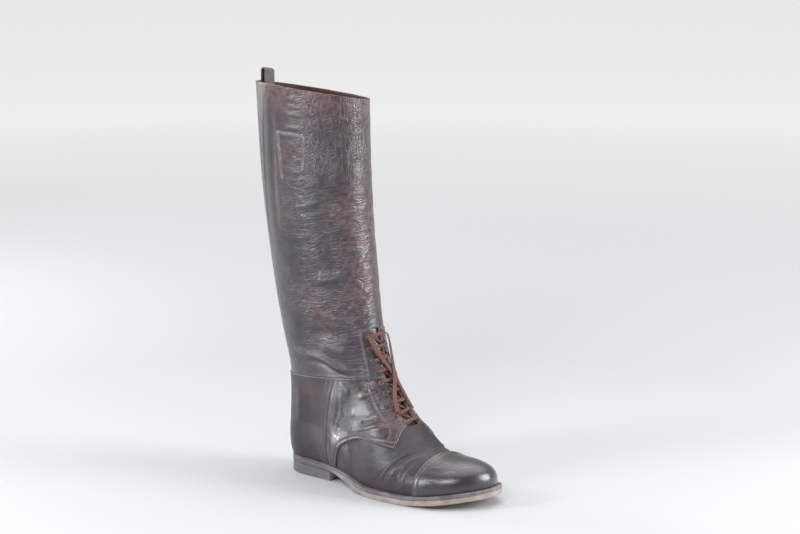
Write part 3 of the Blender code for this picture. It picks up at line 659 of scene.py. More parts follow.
def facing_out(points, faces, normals):
    """The quads, turned round if most of them face against the normals."""
    corners = points.reshape(-1, 3)[faces]
    own = np.cross(corners[:, 2] - corners[:, 0], corners[:, 3] - corners[:, 1])
    agree = (own * normals.reshape(-1, 3)[faces[:, 0]]).sum()
    return faces if agree > 0 else faces[:, ::-1]


def shell(name, outside, inside, normals, faces, materials, stands_for=(), values=None):
    """Closed wall between two sheets of the same grid: outer faces, inner faces turned round, and a rim.

    The materials are those of the outside, the rim and the inside.
    """
    faces = facing_out(outside, faces.reshape(-1, 4), normals)
    count = outside.reshape(-1, 3).shape[0]
    edges = np.concatenate([faces[:, [k, (k + 1) % 4]] for k in range(4)])
    _, where, times = np.unique(np.sort(edges, axis=1), axis=0, return_inverse=True, return_counts=True)
    rim = edges[times[where.ravel()] == 1]
    walls = np.stack([rim[:, 1], rim[:, 0], rim[:, 0] + count, rim[:, 1] + count], axis=1)
    points = np.concatenate([outside.reshape(-1, 3), inside.reshape(-1, 3)])
    kinds = np.repeat([0, 2, 1], [len(faces), len(faces), len(walls)])
    doubled = {key: np.tile(np.ravel(value), 2) for key, value in (values or {}).items()}
    everything = np.concatenate([faces, faces[:, ::-1] + count, walls])
    return add_piece(name, points, everything, materials, stands_for, kinds, doubled)


# Materials

COAT_ROUGHNESS = 0.24


def start_material(name, roughness, coat=0.0):
    """New material with its node tree and its shader."""
    material = bpy.data.materials.new(name)
    material.use_nodes = True
    shader = material.node_tree.nodes["Principled BSDF"]
    shader.inputs["Roughness"].default_value = roughness
    shader.inputs["Coat Weight"].default_value = coat
    shader.inputs["Coat Roughness"].default_value = COAT_ROUGHNESS
    return material, material.node_tree, shader


def add_node(tree, kind, inputs, **settings):
    """New node with its settings and its inputs, each a value or another node's output."""
    made = tree.nodes.new(kind)
    for key, value in settings.items():
        setattr(made, key, value)
    for key, value in inputs.items():
        if isinstance(value, bpy.types.NodeSocket):
            tree.links.new(value, made.inputs[key])
        else:
            made.inputs[key].default_value = value
    return made


def stretched(tree, scale=(1.0, 1.0, 1.0), turn=(0.0, 0.0, 0.0)):
    """Object coordinates times a scale along each axis, turned first."""
    where = add_node(tree, "ShaderNodeTexCoord", {}).outputs["Object"]
    turned = add_node(tree, "ShaderNodeMapping", {"Vector": where, "Rotation": turn}).outputs["Vector"]
    return add_node(tree, "ShaderNodeMapping", {"Vector": turned, "Scale": scale}).outputs["Vector"]


def noise(tree, vector, scale, detail):
    """Noise of so many patches to the metre: its outputs, Fac for the value and Color for three of them."""
    return add_node(tree, "ShaderNodeTexNoise", {"Vector": vector, "Scale": scale, "Detail": detail}).outputs


# Noise that bends the lines between cells: its patches to a cell, and how far it moves them, in cells
SWAY_SHARE, SWAY_REACH = 0.4, 1.6


def cell_lines(tree, scale, turn, count, thin):
    """Lines between random cells, so many to the metre, bent by noise: 1 on a border, 0 a thin way inside."""
    where = stretched(tree, scale, turn)
    sway = noise(tree, where, SWAY_SHARE * count, 1.0)["Color"]
    inputs = {0: sway, 1: (SWAY_REACH / count,) * 3, 2: where}
    bent = add_node(tree, "ShaderNodeVectorMath", inputs, operation="MULTIPLY_ADD").outputs["Vector"]
    inputs = {"Vector": bent, "Scale": count}
    gap = add_node(tree, "ShaderNodeTexVoronoi", inputs, feature="DISTANCE_TO_EDGE").outputs["Distance"]
    return spread(tree, gap, 0.0, thin, 1.0, 0.0)


def spread(tree, value, low, high, start=0.0, end=1.0):
    """Value from low to high stretched over start to end."""
    inputs = {"Value": value, "From Min": low, "From Max": high, "To Min": start, "To Max": end}
    return add_node(tree, "ShaderNodeMapRange", inputs, clamp=True).outputs["Result"]


def maths(tree, operation, first, second):
    """One operation on two values, each a number or another node's output."""
    made = add_node(tree, "ShaderNodeMath", {}, operation=operation)
    for socket, value in zip(made.inputs, (first, second)):
        if isinstance(value, bpy.types.NodeSocket):
            tree.links.new(value, socket)
        else:
            socket.default_value = value
    return made.outputs["Value"]


def blend_colour(tree, share, first, second):
    """Colour between two, each a colour or another node's output."""
    made = add_node(tree, "ShaderNodeMix", {}, data_type="RGBA")
    for number, value in ((0, share), (6, first), (7, second)):
        if isinstance(value, bpy.types.NodeSocket):
            tree.links.new(value, made.inputs[number])
        elif number:
            made.inputs[number].default_value = (*value, 1.0)
        else:
            made.inputs[number].default_value = value
    return made.outputs[2]


def attribute(tree, name):
    """Value that the mesh carries at each point."""
    return add_node(tree, "ShaderNodeAttribute", {}, attribute_name=name).outputs["Fac"]


def bump(tree, height, distance, before=None):
    """Normal tilted by a height from 0 to 1 times a distance in metres."""
    inputs = {"Height": height, "Distance": distance}
    if before is not None:
        inputs["Normal"] = before
    return add_node(tree, "ShaderNodeBump", inputs).outputs["Normal"]


LEATHER_DARK = (0.0115, 0.0078, 0.0108)
LEATHER_MID = (0.039, 0.0275, 0.035)
LEATHER_RED = (0.096, 0.037, 0.034)
# Pale colour of wear and scuffs, and of painted highlight on creases, crests and stitch rows
LEATHER_WORN_AND_SHEEN = (0.22, 0.187, 0.20)
# Metres in the frame: the creases stand upright under the collar, fade at the ankle and stop at the back
UPRIGHT_Z, UPRIGHT_X = (0.325, 0.36), (-0.066, -0.046)
ANKLE_FADE_Z, BACK_STRIP_X = (0.12, 0.2), (-0.11, -0.078)
CREASE_DEPTH, GRAIN_DEPTH = 0.00052, 0.00014
SLANT_SHARE = 0.6


def boot_leather(name, roughness, crease_share, coat):
    """Polished leather: dark and lighter clouds, red where worn through, pale creases partly as painted
    highlight, fine grain.

    The creases lie flat on the leg, cross each other in slanting lines and stand upright under the collar.
    """
    material, tree, shader = start_material(name, roughness, coat)
    plain = stretched(tree)
    clouds = noise(tree, plain, 26.0, 4.0)["Fac"]
    mottle = noise(tree, plain, 150.0, 4.0)["Fac"]
    place = add_node(tree, "ShaderNodeSeparateXYZ", {"Vector": plain}).outputs
    high = maths(tree, "MULTIPLY", spread(tree, place["Z"], *UPRIGHT_Z), spread(tree, place["X"], *UPRIGHT_X))
    flat = cell_lines(tree, (0.6, 0.6, 2.9), (0.0, 0.2, 0.0), 80.0, 0.15)
    slant = cell_lines(tree, (0.7, 0.7, 2.4), (0.0, 0.5, 0.0), 130.0, 0.2)
    upright = cell_lines(tree, (2.6, 2.6, 0.6), (0.0, 0.1, 0.0), 85.0, 0.15)
    slant = maths(tree, "MULTIPLY", slant, SLANT_SHARE)
    across = maths(tree, "MAXIMUM", flat, slant)
    standing = maths(tree, "MAXIMUM", upright, slant)
    lines = maths(tree, "ADD", maths(tree, "MULTIPLY", standing, high),
                  maths(tree, "MULTIPLY", across, maths(tree, "SUBTRACT", 1.0, high)))
    lines = maths(tree, "MULTIPLY", lines, spread(tree, place["Z"], *ANKLE_FADE_Z, crease_share, 1.0))
    lines = maths(tree, "MULTIPLY", lines, spread(tree, clouds, 0.35, 0.62, 0.2, 1.0))
    lines = maths(tree, "MULTIPLY", lines, spread(tree, place["X"], *BACK_STRIP_X, 0.1, 1.0))
    colour = blend_colour(tree, spread(tree, clouds, 0.3, 0.7), LEATHER_DARK, LEATHER_MID)
    red = maths(tree, "MULTIPLY", attribute(tree, "red"), spread(tree, mottle, 0.3, 0.62))
    colour = blend_colour(tree, red, colour, LEATHER_RED)
    # Pale paint on crease lines and on the worn values: scuffs and wear, partly painted highlight
    scuffs_and_sheen = maths(tree, "MULTIPLY", lines, spread(tree, mottle, 0.35, 0.7, 0.1, 0.5))
    rubbed_and_sheen = maths(tree, "MULTIPLY", attribute(tree, "worn"), spread(tree, mottle, 0.3, 0.65, 0.35, 0.85))
    colour = blend_colour(tree, maths(tree, "MAXIMUM", scuffs_and_sheen, rubbed_and_sheen), colour, LEATHER_WORN_AND_SHEEN)
    tree.links.new(colour, shader.inputs["Base Color"])
    gloss = spread(tree, mottle, 0.25, 0.75, roughness - 0.08, roughness + 0.12)
    tree.links.new(gloss, shader.inputs["Roughness"])
    normal = bump(tree, noise(tree, plain, 1300.0, 2.0)["Fac"], GRAIN_DEPTH)
    normal = bump(tree, lines, CREASE_DEPTH, normal)
    tree.links.new(normal, shader.inputs["Normal"])
    tree.links.new(normal, shader.inputs["Coat Normal"])
    return material


def cut_edge():
    """Raw cut edge of tan leather with dark smears of polish."""
    material, tree, shader = start_material("cut_edge", 0.75)
    plain = stretched(tree)
    smears = spread(tree, noise(tree, plain, 70.0, 4.0)["Fac"], 0.4, 0.65)
    colour = blend_colour(tree, smears, (0.36, 0.21, 0.155), (0.15, 0.08, 0.062))
    tree.links.new(colour, shader.inputs["Base Color"])
    tree.links.new(bump(tree, noise(tree, plain, 2200.0, 3.0)["Fac"], 0.0002), shader.inputs["Normal"])
    return material


def lining_leather():
    """Bare tan lining with a red-brown facing under the collar, darkened as painted shade, and brown foot
    marks lower down.
    """
    material, tree, shader = start_material("lining_leather", 0.7)
    plain = stretched(tree)
    stains = noise(tree, plain, 35.0, 5.0)["Fac"]
    tan = blend_colour(tree, spread(tree, stains, 0.35, 0.7), (0.34, 0.15, 0.06), (0.20, 0.085, 0.038))
    # Facing under the collar: its red-brown darkened as painted shade of the collar's inside
    facing = spread(tree, attribute(tree, "below"), 24.5, 25.5, 1.0, 0.0)
    colour = blend_colour(tree, facing, tan, (0.075, 0.034, 0.028))
    tree.links.new(colour, shader.inputs["Base Color"])
    tree.links.new(bump(tree, noise(tree, plain, 900.0, 4.0)["Fac"], 0.0003), shader.inputs["Normal"])
    return material


HEEL_TONE = (0.125, 0.112, 0.116)


def sole_edge(name, dark, light, ochre):
    """Dressed sole edge: layers, scuffs and an ochre line where the polish has worn off the bottom."""
    material, tree, shader = start_material(name, 0.55)
    plain = stretched(tree)
    layers = noise(tree, stretched(tree, (1.0, 1.0, 14.0)), 60.0, 4.0)["Fac"]
    blotches = noise(tree, plain, 75.0, 5.0)["Fac"]
    colour = blend_colour(tree, spread(tree, blotches, 0.35, 0.65), dark, light)
    colour = blend_colour(tree, spread(tree, layers, 0.5, 0.75, 0.0, 0.5), colour, dark)
    low = maths(tree, "MULTIPLY", attribute(tree, "low"), spread(tree, blotches, 0.3, 0.55, 0.35, 1.0))
    colour = blend_colour(tree, low, colour, ochre)
    forward = add_node(tree, "ShaderNodeSeparateXYZ", {"Vector": plain}).outputs["X"]
    colour = blend_colour(tree, spread(tree, forward, -0.05, 0.05), HEEL_TONE, colour)
    tree.links.new(colour, shader.inputs["Base Color"])
    tree.links.new(spread(tree, blotches, 0.3, 0.7, 0.42, 0.75), shader.inputs["Roughness"])
    rough = maths(tree, "ADD", layers, maths(tree, "MULTIPLY", noise(tree, plain, 700.0, 4.0)["Fac"], 0.6))
    tree.links.new(bump(tree, rough, 0.0007), shader.inputs["Normal"])
    return material


def lace_cotton():
    """Flat woven lace: ribs across and along its own UV map, brown with darker dirt."""
    material, tree, shader = start_material("lace_cotton", 0.8)
    where = add_node(tree, "ShaderNodeUVMap", {}, uv_map="UVMap").outputs["UV"]
    inputs = {"Vector": where, "Scale": 0.55, "Distortion": 0.6, "Detail": 1.0}
    across = add_node(tree, "ShaderNodeTexWave", inputs, bands_direction="X").outputs["Fac"]
    inputs = {"Vector": where, "Scale": 0.45, "Distortion": 0.4, "Detail": 1.0}
    along = add_node(tree, "ShaderNodeTexWave", inputs, bands_direction="Y").outputs["Fac"]
    weave = maths(tree, "MULTIPLY", across, along)
    dirt = noise(tree, stretched(tree), 120.0, 4.0)["Fac"]
    colour = blend_colour(tree, spread(tree, weave, 0.0, 0.8), (0.16, 0.071, 0.049), (0.335, 0.162, 0.113))
    colour = blend_colour(tree, spread(tree, dirt, 0.45, 0.75, 0.0, 0.45), colour, (0.12, 0.06, 0.042))
    tree.links.new(colour, shader.inputs["Base Color"])
    tree.links.new(bump(tree, weave, 0.0005), shader.inputs["Normal"])
    return material


def plain_finish(name, colour, roughness, grain=900.0, depth=0.0003):
    """One colour broken by a noise of darker spots, with a fine bump."""
    material, tree, shader = start_material(name, roughness)
    plain = stretched(tree)
    spots = spread(tree, noise(tree, plain, 160.0, 4.0)["Fac"], 0.35, 0.7)
    dark = tuple(0.55 * c for c in colour)
    tree.links.new(blend_colour(tree, spots, colour, dark), shader.inputs["Base Color"])
    tree.links.new(bump(tree, noise(tree, plain, grain, 3.0)["Fac"], depth), shader.inputs["Normal"])
    return material


LEG_LEATHER = boot_leather("leg_polish", 0.38, 0.35, 0.45)
FOOT_LEATHER = boot_leather("foot_polish", 0.29, 0.35, 0.6)
VAMP_LEATHER = boot_leather("vamp_polish", 0.44, 0.25, 0.2)
CAP_LEATHER = boot_leather("cap_polish", 0.31, 0.04, 1.0)
CUT_EDGE = cut_edge()
LINING = lining_leather()
WELT_EDGE = sole_edge("welt_edge", (0.11, 0.095, 0.098), (0.24, 0.208, 0.212), (0.24, 0.208, 0.212))
SOLE_EDGE = sole_edge("sole_edge", (0.27, 0.228, 0.212), (0.43, 0.362, 0.33), (0.45, 0.33, 0.22))
HEEL_EDGE = sole_edge("heel_edge", (0.10, 0.09, 0.093), (0.16, 0.144, 0.148), (0.19, 0.165, 0.155))
LACE = lace_cotton()
THREAD = plain_finish("thread", (0.15, 0.105, 0.095), 0.7, 3000.0, 0.0001)
# Near-black disc in each eyelet: painted shade of the hole
PAINTED_HOLE_SHADE = plain_finish("eyelet_hole_shade", (0.012, 0.008, 0.007), 0.9)
STRAP = plain_finish("loop_strap", (0.17, 0.135, 0.128), 0.7, 1500.0, 0.0004)


# Upper


def sheet_values(points, below):
    """The point values that the leather's material reads."""
    flat = points.reshape(-1, 3)
    # worn holds light wear with painted highlight
    return {"red": redness(flat), "worn": worn(flat), "below": below}


def upper_part(name, rings, steps, over_steps, leather, in_throat, stands_for):
    """One band of the upper: rings by steps round it, out by the relief, a wall thick, open at the throat."""
    edge = along_at_width(rings, curve(rings, THROAT[:, 0], THROAT[:, 1]))[:, None]
    side_steps = len(steps)
    steps = steps[None, :]
    rise = np.linspace(0, 1, over_steps + 1)[1:]
    over = np.concatenate([rise, rise[-2::-1]])[None, :]
    along = np.concatenate([edge * steps, edge + (1 - edge) * over, edge * steps[:, :0:-1]], axis=1)
    outer_columns = side_steps + over_steps
    side = np.where(np.arange(along.shape[1]) < outer_columns, OUTER, INNER)[None, :]
    ring, along, side = np.broadcast_arrays(rings[:, None], along, side)
    base = on_upper(ring, along, side)
    normals = outward(ring, along, side)
    stand = relief(base.reshape(-1, 3)).reshape(ring.shape)[..., None]
    faces = grid_faces(*ring.shape, True)
    keep = np.ones(faces.shape[:2], bool)
    keep[np.ix_(in_throat, side_steps - 1 + np.arange(2 * over_steps))] = False
    rim = on_upper(np.full(along.shape, TOP_RING), along, side)
    below = (rim[..., 2] - base[..., 2]).ravel()
    return shell(name, base + normals * stand, base + normals * (stand - WALL), normals, faces[keep],
                 [leather, CUT_EDGE, LINING], stands_for, sheet_values(base, below))


def build_leg():
    """Leg from the ankle seam to the collar, in rows evenly spaced up its height."""
    heights = (FINE_BACK_Z + FINE_FRONT_Z) / 2
    limits = np.interp([ANKLE_RING, TOP_RING], FINE, heights)
    rings = np.interp(np.linspace(*limits, 186), heights, FINE)
    middle = (rings[:-1] + rings[1:]) / 2
    upper_part("leg_leather", rings, np.linspace(0, 1, 116), 5, LEG_LEATHER, middle < THROAT_HIGH, ("leg",))


# Share along the foot, from the back to the front, where it bends
VAMP_BEND = (0.5, 0.74)


def build_vamp():
    """Foot of the upper, from the feather line to the ankle seam, with closer steps where the foot bends."""
    rings = np.concatenate([np.linspace(0, THROAT_LOW, 92)[:-1], np.linspace(THROAT_LOW, ANKLE_RING, 26)])
    middle = (rings[:-1] + rings[1:]) / 2
    bend = np.linspace(*VAMP_BEND, 100)
    steps = np.concatenate([np.linspace(0, bend[0], 58)[:-1], bend, np.linspace(bend[-1], 1, 34)[1:]])
    upper_part("vamp_leather", rings, steps, 6, VAMP_LEATHER, middle > THROAT_LOW, ("vamp", "back_part"))


# Overlays

EDGE_SHARES = np.array([0.0, 0.003, 0.007, 0.012, 0.018])
AFTER_EDGE = 0.026
ROLL = 1.3
OVERLAY_SINK = 0.4
# Depth below the collar given to pieces that have no facing inside
NO_FACING = 99.0


def edge_steps(count):
    """Steps from 0 to 1, closer at both ends for a rolled edge."""
    middle = np.linspace(AFTER_EDGE, 1 - AFTER_EDGE, count)
    return np.concatenate([EDGE_SHARES, middle, 1 - EDGE_SHARES[::-1]])


def rolled_lift(points, rolled):
    """Lift of an overlay: a quarter circle up from each rolled border, flat at full thickness inside it.

    rolled says which borders roll: first row, last row, first column, last column.
    """
    lift = np.ones(points.shape[:2])
    for number, axis in ((0, 0), (1, 0), (2, 1), (3, 1)):
        if rolled[number]:
            step = np.linalg.norm(np.diff(points, axis=axis), axis=-1)
            start = np.zeros_like(np.take(step, [0], axis=axis))
            run = np.concatenate([start, np.cumsum(step, axis=axis)], axis=axis)
            if number % 2:
                run = np.take(run, [-1], axis=axis) - run
            lift = np.minimum(lift, np.sqrt(1 - (1 - np.clip(run / ROLL, 0, 1)) ** 2))
    return OVERLAY * lift


def overlay(name, base, normals, rolled, leather, node):
    """Leather piece on the upper: its outside stands off by rolled lift and relief, its inside is sunk."""
    stand = relief(base.reshape(-1, 3)).reshape(base.shape[:2])
    outside = base + normals * (stand + rolled_lift(base, rolled))[..., None]
    inside = base + normals * (stand - OVERLAY_SINK)[..., None]
    values = sheet_values(base, np.full(stand.size, NO_FACING))
    return shell(name, outside, inside, normals, grid_faces(*base.shape[:2], False),
                 [leather, leather, leather], (node,), values)


# Point inside the toe, which the cap faces away from
CAP_MIDDLE = np.array([240.0, 0.0, 20.0])


def build_toe_cap():
    """Cap ahead of one line across the toe: sections by station, closer together towards the tip."""
    share = np.concatenate([EDGE_SHARES, np.linspace(AFTER_EDGE, 1, 70)])
    x = CAP_X + (TOE_TIP - CAP_X) * np.sin(np.pi / 2 * share)
    base = section_points(*np.broadcast_arrays(x[:, None], np.linspace(-1, 1, 151)[None, :]))
    normals = np.cross(np.gradient(base, axis=1), np.gradient(base, axis=0))
    normals[-1] = (1.0, 0.0, 0.0)
    normals = unit(normals)
    normals *= np.where(((base - CAP_MIDDLE) * normals).sum(axis=-1, keepdims=True) < 0, -1, 1)
    overlay("toe_cap_leather", base, normals, (True, False, False, False), CAP_LEATHER, "toe_cap")


# Shares of the height up to the ankle seam: the counter's even rows, and the scale of those at its edge
COUNTER_HEIGHTS, COUNTER_ROLL = (0.03, 0.965), 0.6


def build_counter():
    """Counter round the heel, from its stitched front edge on one side round the back to the other."""
    height = np.concatenate([np.linspace(*COUNTER_HEIGHTS, 78), 1 - COUNTER_ROLL * EDGE_SHARES[::-1]])
    ring = ANKLE_RING * height[:, None]
    edge = counter_edge_along(ring)
    share = 1 - np.concatenate([EDGE_SHARES, np.linspace(AFTER_EDGE, 1, 62)])
    along = edge * np.concatenate([share, share[-2::-1]])[None, :]
    side = np.where(np.arange(along.shape[1]) < len(share), OUTER, INNER)[None, :]
    ring, along, side = np.broadcast_arrays(ring, along, side)
    overlay("counter_leather", on_upper(ring, along, side), outward(ring, along, side),
            (False, True, True, True), VAMP_LEATHER, "counter")


def build_quarter(name, side, node):
    """Side piece from its curved lower edge, where each column starts, up to the ankle seam."""
    across = edge_steps(92)
    tries = np.linspace(0.03, ANKLE_RING - 0.5, 400)
    start, end = quarter_limits(tries)
    x, z = ring_line(tries[:, None], start[:, None] + (end - start)[:, None] * across[None, :])
    above = np.maximum.accumulate(z - curve(x, QUARTER_EDGE[:, 0], QUARTER_EDGE[:, 1]), axis=0)
    low = np.array([np.interp(0.0, column, tries) for column in above.T])
    ring = low[None, :] + (ANKLE_RING - low)[None, :] * edge_steps(70)[:, None]
    start, end = quarter_limits(ring)
    along = start + (end - start) * across[None, :]
    sides = np.full(ring.shape, side)
    overlay(name, on_upper(ring, along, sides), outward(ring, along, sides),
            (True, True, False, True), FOOT_LEATHER, node)


# Stitches

STITCH_PITCH, STITCH_LENGTH, STITCH_RADIUS = 3.1, 2.3, 0.42
STITCH_SECTIONS = np.array([-1.0, -0.6, 0.0, 0.6, 1.0])
STITCH_SIDES = 6
SHORT_STEP = 0.5


def line_normals(line):
    """Unit normals of the outside along a line on it: away from the middle line, square to the run."""
    x, z = line[:, 0], line[:, 2]
    side = np.where(line[:, 1] < centre_y(x, z), OUTER, INNER)
    forward = on_side(x + SHORT_STEP, z, side) - on_side(x - SHORT_STEP, z, side)
    up = on_side(x, z + SHORT_STEP, side) - on_side(x, z - SHORT_STEP, side)
    return unit(-side[:, None] * np.cross(forward, up))


def read_along(line, at):
    """Points on a line at lengths along it, and its unit direction there."""
    length = lengths_along(line)
    points, ahead, behind = (np.stack([np.interp(at + step, length, column) for column in line.T], axis=1)
                             for step in (0.0, SHORT_STEP, -SHORT_STEP))
    return points, unit(ahead - behind)


def build_stitches():
    """Stitches on every row: short spindles, half sunk, of radius r sqrt(1.04 - s^2) along the thread."""
    centres, runs, ups = [], [], []
    for line, lift, _ in SEAMS:
        total = lengths_along(line)[-1]
        points, run = read_along(line, np.arange(STITCH_PITCH, total - STITCH_PITCH, STITCH_PITCH))
        up = line_normals(points)
        centres.append(points + up * (lift + relief(points))[:, None])
        runs.append(run)
        ups.append(up)
    centre, run, up = np.concatenate(centres), np.concatenate(runs), np.concatenate(ups)
    across = unit(np.cross(up, run))
    s = STITCH_SECTIONS
    radius = STITCH_RADIUS * np.sqrt(1.04 - s ** 2)
    turn = np.arange(STITCH_SIDES) * 2 * np.pi / STITCH_SIDES
    long_way = (s * STITCH_LENGTH / 2)[None, :, None, None] * run[:, None, None, :]
    round_way = (np.cos(turn)[None, None, :, None] * across[:, None, None, :]
                 + np.sin(turn)[None, None, :, None] * up[:, None, None, :])
    points = centre[:, None, None, :] + long_way + radius[None, :, None, None] * round_way
    one = grid_faces(len(s), len(turn), True).reshape(-1, 4)
    lids = np.array([[5, 4, 3, 2], [5, 2, 1, 0]])
    lids = np.concatenate([lids, lids[:, ::-1] + (len(s) - 1) * len(turn)])
    one = np.concatenate([one, lids])
    faces = (one[None] + (np.arange(len(centre)) * len(s) * len(turn))[:, None, None]).reshape(-1, 4)
    add_piece("stitches", points.reshape(-1, 3), faces, [THREAD])


# Sole

EDGE_ROUND = np.array([
    # out, height share
    [-1.6, 1.0],
    [-0.6, 0.98],
    [-0.1, 0.9],
    [0.0, 0.75],
    [0.1, 0.5],
    [0.1, 0.25],
    [-0.1, 0.1],
    [-0.6, 0.02],
    [-1.8, 0.0],
])
FLAT = np.array([1.0, 1.0, 0.0])
FLAT_COLUMNS = 9
# Uneven edge: seed, lengths and tilt of its waves, which differ on the two sides and end at heel and toe
SOLE_WAVES, SIDES_APART = (11, (20.0, 60.0), 1.0), 40.0
EVEN_HEEL, EVEN_TOE = 12.0, 6.0
# Share of an edge's height where the polish starts to wear off, and how soon it is gone
BARE_FROM, BARE_OVER = 0.55, 0.35
SLAB_STATIONS = 190
# Metres between points that are joined
WELD_GAP = 1e-5
INSOLE_THICK, INSOLE_GAP = 3.0, 0.7
HEEL_LIFTS, LIFT_GROOVE = 3, 0.35


def reach_of(extra):
    """Overhang past the feather line along the foot, with an extra margin."""
    return lambda x: curve(x, SOLE[:, 0], SOLE[:, 1]) + extra


def welt_bottom(x):
    """Under side of the welt."""
    return feather_z(x) - JOINT - curve(x, SOLE[:, 0], SOLE[:, 2])


def sole_bottom(x):
    """Under side of the outsole."""
    return welt_bottom(x) - JOINT - curve(x, SOLE[:, 0], SOLE[:, 3])


def heel_bottom(x):
    """Floor of the heel, worn up at the back."""
    return HEEL_WEAR * np.clip(1 - x / HEEL_WEAR_LENGTH, 0, 1) ** 2


def weld(made):
    """Join the points of a mesh that lie on each other, where the two sides meet at toe and heel."""
    work = bmesh.new()
    work.from_mesh(made.data)
    bmesh.ops.remove_doubles(work, verts=work.verts, dist=WELD_GAP)
    work.to_mesh(made.data)
    work.free()


def slab(name, reach, top, bottom, last_x, profile, wobble, material, node):
    """Layer of the sole: an edge profile carried round the feather line, out by reach, flat in between.

    Each station's loop is the outer profile down, across below, the inner profile up and back across above.
    """
    along = along_at_x(0.0, last_x) * np.linspace(0, 1, SLAB_STATIONS)
    x, _ = ring_line(0.0, along)
    high, low = top(x), bottom(x)
    sides = []
    for side in (OUTER, INNER):
        edge = on_upper(0.0, along, side)
        facing = outward(np.zeros_like(along), along, np.full_like(along, side))
        facing = unit(facing * FLAT)
        uneven = wobble * waves(edge * FLAT + [0.0, 0.0, SIDES_APART * side], *SOLE_WAVES)
        uneven = uneven * soft_step(x / EVEN_HEEL) * soft_step((TOE_TIP - x) / EVEN_TOE)
        out = (reach(x) + uneven)[:, None] + profile[None, :, 0]
        points = edge[:, None, :] + facing[:, None, :] * out[..., None]
        points[..., 2] = low[:, None] + (high - low)[:, None] * profile[None, :, 1]
        sides.append(points)
    outer, inner = sides
    share = np.linspace(0, 1, FLAT_COLUMNS + 2)[1:-1][None, :, None]
    below = outer[:, -1:] + (inner[:, -1:] - outer[:, -1:]) * share
    above = inner[:, :1] + (outer[:, :1] - inner[:, :1]) * share
    points = np.concatenate([outer, below, inner[:, ::-1], above], axis=1)
    columns = points.shape[1]
    faces = grid_faces(SLAB_STATIONS, columns, True).reshape(-1, 4)
    front = [(SLAB_STATIONS - 1) * columns + c for c in range(columns)]
    lids = [front[::-1]] if last_x < RINGS[0, 2] else []
    down = 1 - profile[:, 1]
    down = np.concatenate([down, np.ones(FLAT_COLUMNS), down[::-1], np.zeros(FLAT_COLUMNS)])
    low_share = np.tile(soft_step((down - BARE_FROM) / BARE_OVER), (SLAB_STATIONS, 1))
    made = add_piece(name, points.reshape(-1, 3), faces[:, ::-1].tolist() + lids, [material], (node,),
                     values={"low": low_share})
    weld(made)


def heel_profile():
    """Edge of the heel: the round edge with a shallow groove between its lifts."""
    share = np.linspace(0.97, 0.03, 29)
    groove = np.abs((share * HEEL_LIFTS) % 1.0 - 0.5)
    out = -LIFT_GROOVE * np.exp(-((0.5 - groove) / 0.07) ** 2)
    return np.concatenate([[[-1.4, 1.0]], np.column_stack([out, share]), [[-1.0, 0.0]]])


def build_sole():
    """Welt, outsole, heel and insole, each a slab between two heights."""
    toe = RINGS[0, 2]
    slab("welt_strip", reach_of(0.0), lambda x: feather_z(x) - 0.05, welt_bottom, toe, EDGE_ROUND, 0.12,
         WELT_EDGE, "welt")
    slab("outsole_edge", reach_of(0.0), lambda x: welt_bottom(x) - 0.1, sole_bottom, toe, EDGE_ROUND, 0.3,
         SOLE_EDGE, "outsole")
    slab("heel_stack", reach_of(-0.2), lambda x: sole_bottom(x) - 0.1, heel_bottom, HEEL_BREAST,
         heel_profile(), 0.2, HEEL_EDGE, "heel")
    slab("insole_board", lambda x: 0 * x - WALL - INSOLE_GAP, lambda x: feather_z(x) + INSOLE_THICK,
         feather_z, toe, EDGE_ROUND, 0.0, LINING, "insole")


# Tongue, eyelets and laces

TONGUE_HALF, TONGUE_GAP, TONGUE_THICK = 17.0, 0.5, 1.8
TONGUE_RINGS = (7.8, 12.8)
TONGUE_WAVES, TONGUE_WAVE, TONGUE_WAVE_MOST = (21, (9.0, 18.0), 0.3), 0.25, 0.3
LACE_WIDTH, LACE_THICK, LACE_LIFT = 5.0, 1.3, 2.65
BAR_COUNT, BAR_HALF, BAR_RINGS, BAR_SLANT = 9, 13.0, (8.5, 12.1), 0.08
# A bar dives into its eyelets, waves a little and differs from the next in slant and width
BAR_PAST, DIVE_DEPTH, DIVE_BEFORE, DIVE_LENGTH = 0.8, 3.6, 3.2, 4.0
BAR_WAVE, BAR_WAVE_LENGTH = 0.35, 4.0
BAR_SLANT_VARIES, BAR_WIDTH_SHARES = 0.03, (0.7, 0.86)
# A strand behind the bars: half its reach, rings clear of them, lift and sag, shares of width and thickness
STRAND_HALF, STRAND_CLEAR, STRAND_LIFT, STRAND_SAG = 7.5, 0.05, -1.0, 1.6
STRAND_WIDTH, STRAND_THICK = 0.55, 0.7
END_OUTER = np.array([
    # ring, y, lift
    [12.10, -12.8, 2.0],
    [12.00, -12.0, 3.9],
    [11.50, -8.0, 4.4],
    [10.95, -2.5, 4.4],
    [10.40, 2.5, 4.4],
    [9.90, 6.0, 4.4],
    [9.40, 8.0, 4.4],
    [8.90, 9.0, 4.4],
])
END_INNER = np.array([
    # ring, y, lift
    [12.10, 12.8, 2.0],
    [12.00, 12.3, 5.0],
    [11.50, 10.0, 6.4],
    [10.95, 7.0, 6.4],
    [10.40, 2.5, 6.4],
    [9.90, -3.5, 6.4],
    [9.40, -8.5, 6.4],
    [8.80, -12.5, 6.4],
])


